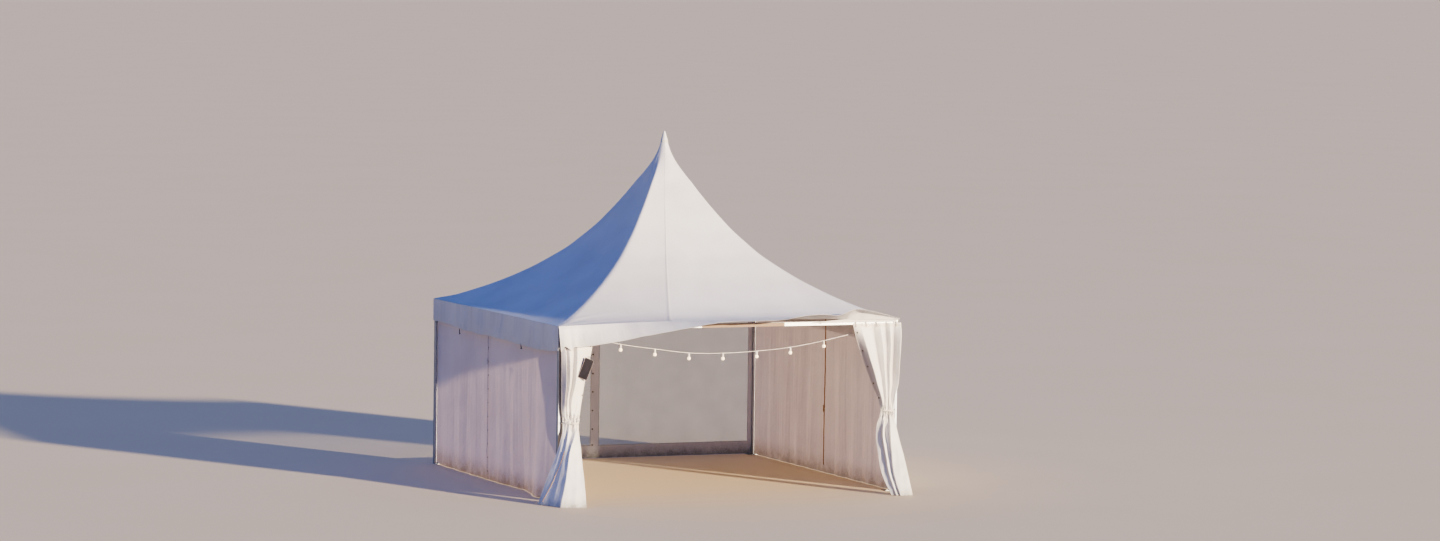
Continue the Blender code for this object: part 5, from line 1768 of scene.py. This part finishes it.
# %% Fit the curtains
def on_cloth(grid, across, level, out=0.0):
    """The point of a curtain grid at a share across and up, and its outward direction."""
    rows, columns = grid.shape[:2]
    i = int(np.clip(round(level * (rows - 1)), 1, rows - 2))
    j = int(np.clip(round(across * (columns - 1)), 1, columns - 2))
    along = Vector(grid[i, j + 1] - grid[i, j - 1])
    facing = along.cross(Vector(grid[i + 1, j] - grid[i - 1, j])).normalized()
    if facing.y > 0:
        facing = -facing
    return Vector(grid[i, j]) + facing * (CLOTH / 2 + out), facing


def eyelet(at, facing, radius):
    """A pressed ring round a thin dark disc that stands for the hole: painted shade, as the cloth is not
    cut.
    """
    facing = Vector(facing).normalized()
    turn = Vector((0, 0, 1)).rotation_difference(facing).to_matrix()
    a = facing.orthogonal().normalized()
    ring_at = Vector(at) + facing * 0.0008
    ring = ring_wire(ring_at, radius, a, facing.cross(a), 18, radius * 0.28, 6)
    hole = turned_shape([(radius * 0.8, 0.0), (radius * 0.8, 0.0006)], at, 16, turn)
    return [ring, (*hole, 1)]


def eyelets_piece(name, rings):
    """All the eyelets of one row as one piece."""
    tent_piece(name, rings, [brass, dark_rope_and_hole_shade])


def fit_curtain(side, grid, eyelet_levels, loop_places):
    """Eyelets down the loose edge and loops along the head of one curtain."""
    rings = []
    for level in eyelet_levels:
        rings += eyelet(*on_cloth(grid, 0.955, level), 0.009)
    eyelets_piece(f"curtain_eyelets_{side}", rings)
    loops = []
    for place in loop_places:
        at = on_cloth(grid, place, 0.985, 0.0016)[0]
        up = [at + Vector((0, y, z)) for y, z in ((0, -0.016), (-0.006, -0.004), (-0.004, 0.014))]
        up += [Vector((at.x, -FRAME - y, BEAM_FOOT + z)) for y, z in ((0.0045, 0.034), (0.003, 0.046))]
        for way in (-1, 1):
            strand = [p + Vector((way * (0.006 - 0.001 * k), 0, 0)) for k, p in enumerate(up)]
            loops.append(wire(strand, 16, 0.003, 6))
        loops.append(tube([at + Vector((x, -0.002, -0.016)) for x in (-0.009, 0.009)], 0.0045))
    tent_piece(f"curtain_loops_{side}", loops, [white_webbing])
    print(side, "curtain:", len(eyelet_levels), "eyelets and", len(loop_places), "loops")


fit_curtain("left", left_cloth, (0.9, 0.8, 0.71, 0.62), (0.08, 0.34, 0.62, 0.9))
fit_curtain("right", right_cloth, (0.943, 0.842, 0.742, 0.645, 0.554), (0.1, 0.3, 0.52, 0.74, 0.95))

edge_route = [(0.34, 0.3), (0.3, 0.235), (0.24, 0.17), (0.2, 0.12), (0.15, 0.065), (0.1, 0.02)]
edge_points = [on_cloth(left_cloth, across, level, 0.0015)[0] for across, level in edge_route]
tent_piece("curtain_edge_rope", [wire(edge_points, 60, 0.0045)], [tan_rope])

# %% [markdown]
# ## The board on the left curtain
# A small slate board hangs on the curtain by a cord through two holes, and a stitch ties
# the cord to the cloth. It is bare. A board is a thin block with softened edges and a
# thin trim nailed round it, and it lies against the foremost folds behind it, which the
# script finds among the curtain's own points.

# %% Hang the board
BOARD_WIDE, BOARD_TALL, BOARD_THICK, BOARD_TILT = 0.136, 0.285, 0.006, 22.0
TRIM, STRING = 0.0055, 0.0018
board_low, board_high = local_box("number_plaque")
board_middle = (board_low + board_high) / 2 - Vector((0.052, 0.0, 0.0))
tilt = Matrix.Rotation(math.radians(BOARD_TILT), 3, "Y")
cloth_points = left_cloth.reshape(-1, 3)
flat_rows = (cloth_points - np.array(board_middle)) @ np.array(tilt)
behind = (np.abs(flat_rows[:, 0]) < BOARD_WIDE / 2) & (np.abs(flat_rows[:, 2]) < BOARD_TALL / 2)
board_back = float(cloth_points[behind][:, 1].min()) - 0.0025
board_at = Vector((board_middle.x, board_back - BOARD_THICK / 2, board_middle.z))
print("board moved by", round(board_at.y - board_middle.y, 3), "m to lie on the folds")


def tilted(part):
    """A part of the board, turned by the board's tilt and moved to its place."""
    points, faces, *kind = part
    return [board_at + tilt @ Vector(p) for p in points], faces, *kind


w, t, h = BOARD_WIDE / 2, BOARD_TALL / 2, BOARD_THICK / 2
board_parts = [rounded_block((-w + 0.002, -h * 0.55, -t + 0.002), (w - 0.002, h, t - 0.002), 0.001)]
for x0, x1, z0, z1 in (
    (-w, -w + TRIM, -t, t), (w - TRIM, w, -t, t), (-w + TRIM, w - TRIM, -t, -t + TRIM),
    (-w + TRIM, w - TRIM, t - TRIM, t),
):
    board_parts += in_second([rounded_block((x0, -h - 0.001, z0), (x1, h, z1), 0.001)])
lying = Matrix.Rotation(math.pi / 2, 3, "X")
for way in (-1, 1):
    at = (way * 0.04, -h * 0.55, t - 0.018)
    board_parts.append((*turned_shape([(0.004, 0.0), (0.004, 0.002)], at, 12, lying), 2))
string_points = [
    Vector((x, -h - out, t + up))
    for x, out, up in (
        (-0.04, 0.001, -0.018), (-0.022, 0.002, 0.01), (0.0, 0.0, 0.024), (0.022, 0.002, 0.01),
        (0.04, 0.001, -0.018),
    )
]
board_parts.append((*wire(string_points, 24, STRING, 6), 2))
string_top = board_at + tilt @ string_points[2]
away = np.hypot(cloth_points[:, 0] - string_top.x, cloth_points[:, 2] - string_top.z)
held_at = Vector(cloth_points[np.argmin(away)])
bow = (string_top + held_at) / 2 + Vector((0, 0, 0.008))
stitch = (*wire([string_top, bow, held_at], 12, STRING, 6), 2)
board_parts = [tilted(part) for part in board_parts] + [stitch]
board = tent_piece("slate_board", board_parts, [slate, stained_wood, dark_rope_and_hole_shade], 30.0)
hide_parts("number_plaque")
print("the board hangs from a stitch", round((held_at - string_top).length, 3), "m long")

# %% [markdown]
# ## Lacing on the side walls
# Side walls are laced where two panels meet: a rope goes through an eyelet, down behind
# the next one and out again, all the way to the ground, and is knotted once. The rope's
# path is laid on the wall's own points and wanders a little between the eyelets.

# %% Lace the walls
def lacing(name, panel, column, rope, radius, sway, seed, knot_height):
    """A rope down through a row of eyelets near the edge of one wall panel."""
    draw = random.Random(seed)
    line = wall_grids[panel][:, column]
    facing = Vector((-1, 0, 0))

    def face(z, out):
        """A point out from the wall at a height."""
        return Vector((np.interp(z, line[:, 2], line[:, 0]) - out, line[0, 1], z))

    levels = np.linspace(2.22, 0.12, 12)
    route, rings = [], []
    for k, z in enumerate(levels):
        rings += eyelet(face(z, 0.0016), facing, 0.008)
        route.append(face(z, 0.006) + Vector((0, draw.uniform(-0.003, 0.003), 0)))
        if k < len(levels) - 1:
            half = (z + levels[k + 1]) / 2
            route.append(face(half, 0.007) + Vector((0, draw.uniform(-sway, sway), 0)))
    ropes = [wire(route, 150, radius)]
    knot_at = face(knot_height, 0.011)
    for lean in ((0, 1, 0.4), (0, 0.5, 1), (0.3, 1, -0.6)):
        a = Vector(lean).normalized()
        b = a.cross(facing).normalized()
        ropes.append(ring_wire(knot_at, radius * 2.2, a, b, 14, radius, 6, 1.3))
    tail = [knot_at, knot_at + Vector((-0.004, 0.01, -0.03)), knot_at + Vector((0.002, 0.012, -0.08))]
    ropes.append(wire(tail, 10, radius, 6))
    tent_piece(f"{name}_rope", ropes, [rope])
    eyelets_piece(f"{name}_eyelets", rings)
    print(name, "goes through", len(levels), "eyelets")


lacing("lacing_left", "wall_left_rear_panel", 3, grey_rope, 0.003, 0.012, 5, 1.69)
lacing("lacing_right", "wall_right_front_panel", -8, tan_rope, 0.0075, 0.004, 6, 0.94)

# %% [markdown]
# ## Rear strip, straps and clips
# The rear windows overlap on a strip with eyelets of its own, on both faces. Two short
# straps hang under the left valance, and three small clips hold the front beam's trim.

# %% Fit the rear strip, the straps and the clips
strip = []
for level in (2.05, 1.78, 1.51, 1.235, 0.97, 0.7, 0.43, 0.2):
    for facing in ((0, -1, 0), (0, 1, 0)):
        at = Vector((-0.07, BEAM_MID, level)) + Vector(facing) * 0.0036
        strip += eyelet(at, facing, 0.009)
eyelets_piece("rear_strip_eyelets", strip)

straps = []
for y in (1.37, -1.1):
    at = Vector((-HALF - 0.004, y, 2.04))
    hang = ((0.002, 0, 0.02), (0, 0, 0), (-0.006, 0.003, -0.045), (-0.003, -0.003, -0.09))
    straps.append(wire([at + Vector(step) for step in hang], 16, 0.005, 6))
    buckle = ((-0.003, -0.018, -0.09), (-0.003, 0.014, -0.094))
    straps.append(tube([at + Vector(step) for step in buckle], 0.006))
tent_piece("valance_straps", straps, [dark_rope_and_hole_shade])

clips = []
for x, z, tall in ((0.113, 2.33, 0.03), (1.328, 2.335, 0.018), (-0.95, 2.33, 0.018)):
    near, far = (x - 0.01, -FRAME - 0.0045, z - tall / 2), (x + 0.01, -FRAME + 0.001, z + tall / 2)
    clips += [rounded_block(near, far, 0.002), *bolt((x, -FRAME - 0.0045, z), (0, -1, 0), 0.004, 0.004)]
tent_piece("beam_clips", clips, [zinc], 30.0)
print(len(strip) // 2, "eyelets, 2 straps and 3 clips fitted")

# %% [markdown]
# ## The front beam's shade strip and eave flap
# A stretch of the front beam is covered by a tan canvas strip, which is painted shade: it
# stands for the lifted valance's shadow on the beam. Near the right corner a strip of roof
# cloth closes the gap between the beam and the lifted eave. Both are thin sheets laid on
# the beam's face, two millimetres off it, so they stay with the beam from any side.

# %% Cover the front beam
def beam_strip(name, start, end, foot, top, lean, material, slot):
    """A sheet on the beam's front face, from a height foot to the heights top along it."""
    x = np.linspace(start, end, 150)
    up = np.linspace(0.0, 1.0, 8)[:, None]
    tall = top(x) - foot
    grid = grid_of(x, -FRAME - 0.002 - lean * up, foot + tall * up)
    grid[..., 1] -= 0.0012 * (1 + soft_noise(grid, (0.12, 1.0, 0.03), 41))
    piece = cloth_sheet(name, grid, material, slot)


def shade_strip_top(x):
    """Level, just under the beam's upper edge."""
    return np.full_like(x, BEAM_TOP - 0.004)


def flap_top(x):
    """Just under the eave, running out to nothing at its left end."""
    rise = EAVE - 0.004 + FRONT_LIFT * (1 - (x / HALF) ** 2) - FLAP_FOOT
    return FLAP_FOOT + rise * (0.1 + 0.9 * unit((x - 1.2) / 0.5))


FLAP_FOOT = BEAM_TOP - 0.018
# The tan strip is painted shade: the lifted valance's shadow on the beam.
beam_strip(
    "front_beam_painted_shade_strip", -0.42, 0.79, BEAM_FOOT + 0.002, shade_strip_top, 0.0, tan_canvas_painted_shade, "curtain_pvc"
)
beam_strip("front_eave_flap", 1.2, 2.46, FLAP_FOOT, flap_top, 0.004, roof_cloth, "roof_pvc")

# %% [markdown]
# ## The size
# The box round everything that is drawn is measured, leaving out the floor.

# %% Measure the size
low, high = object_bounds()
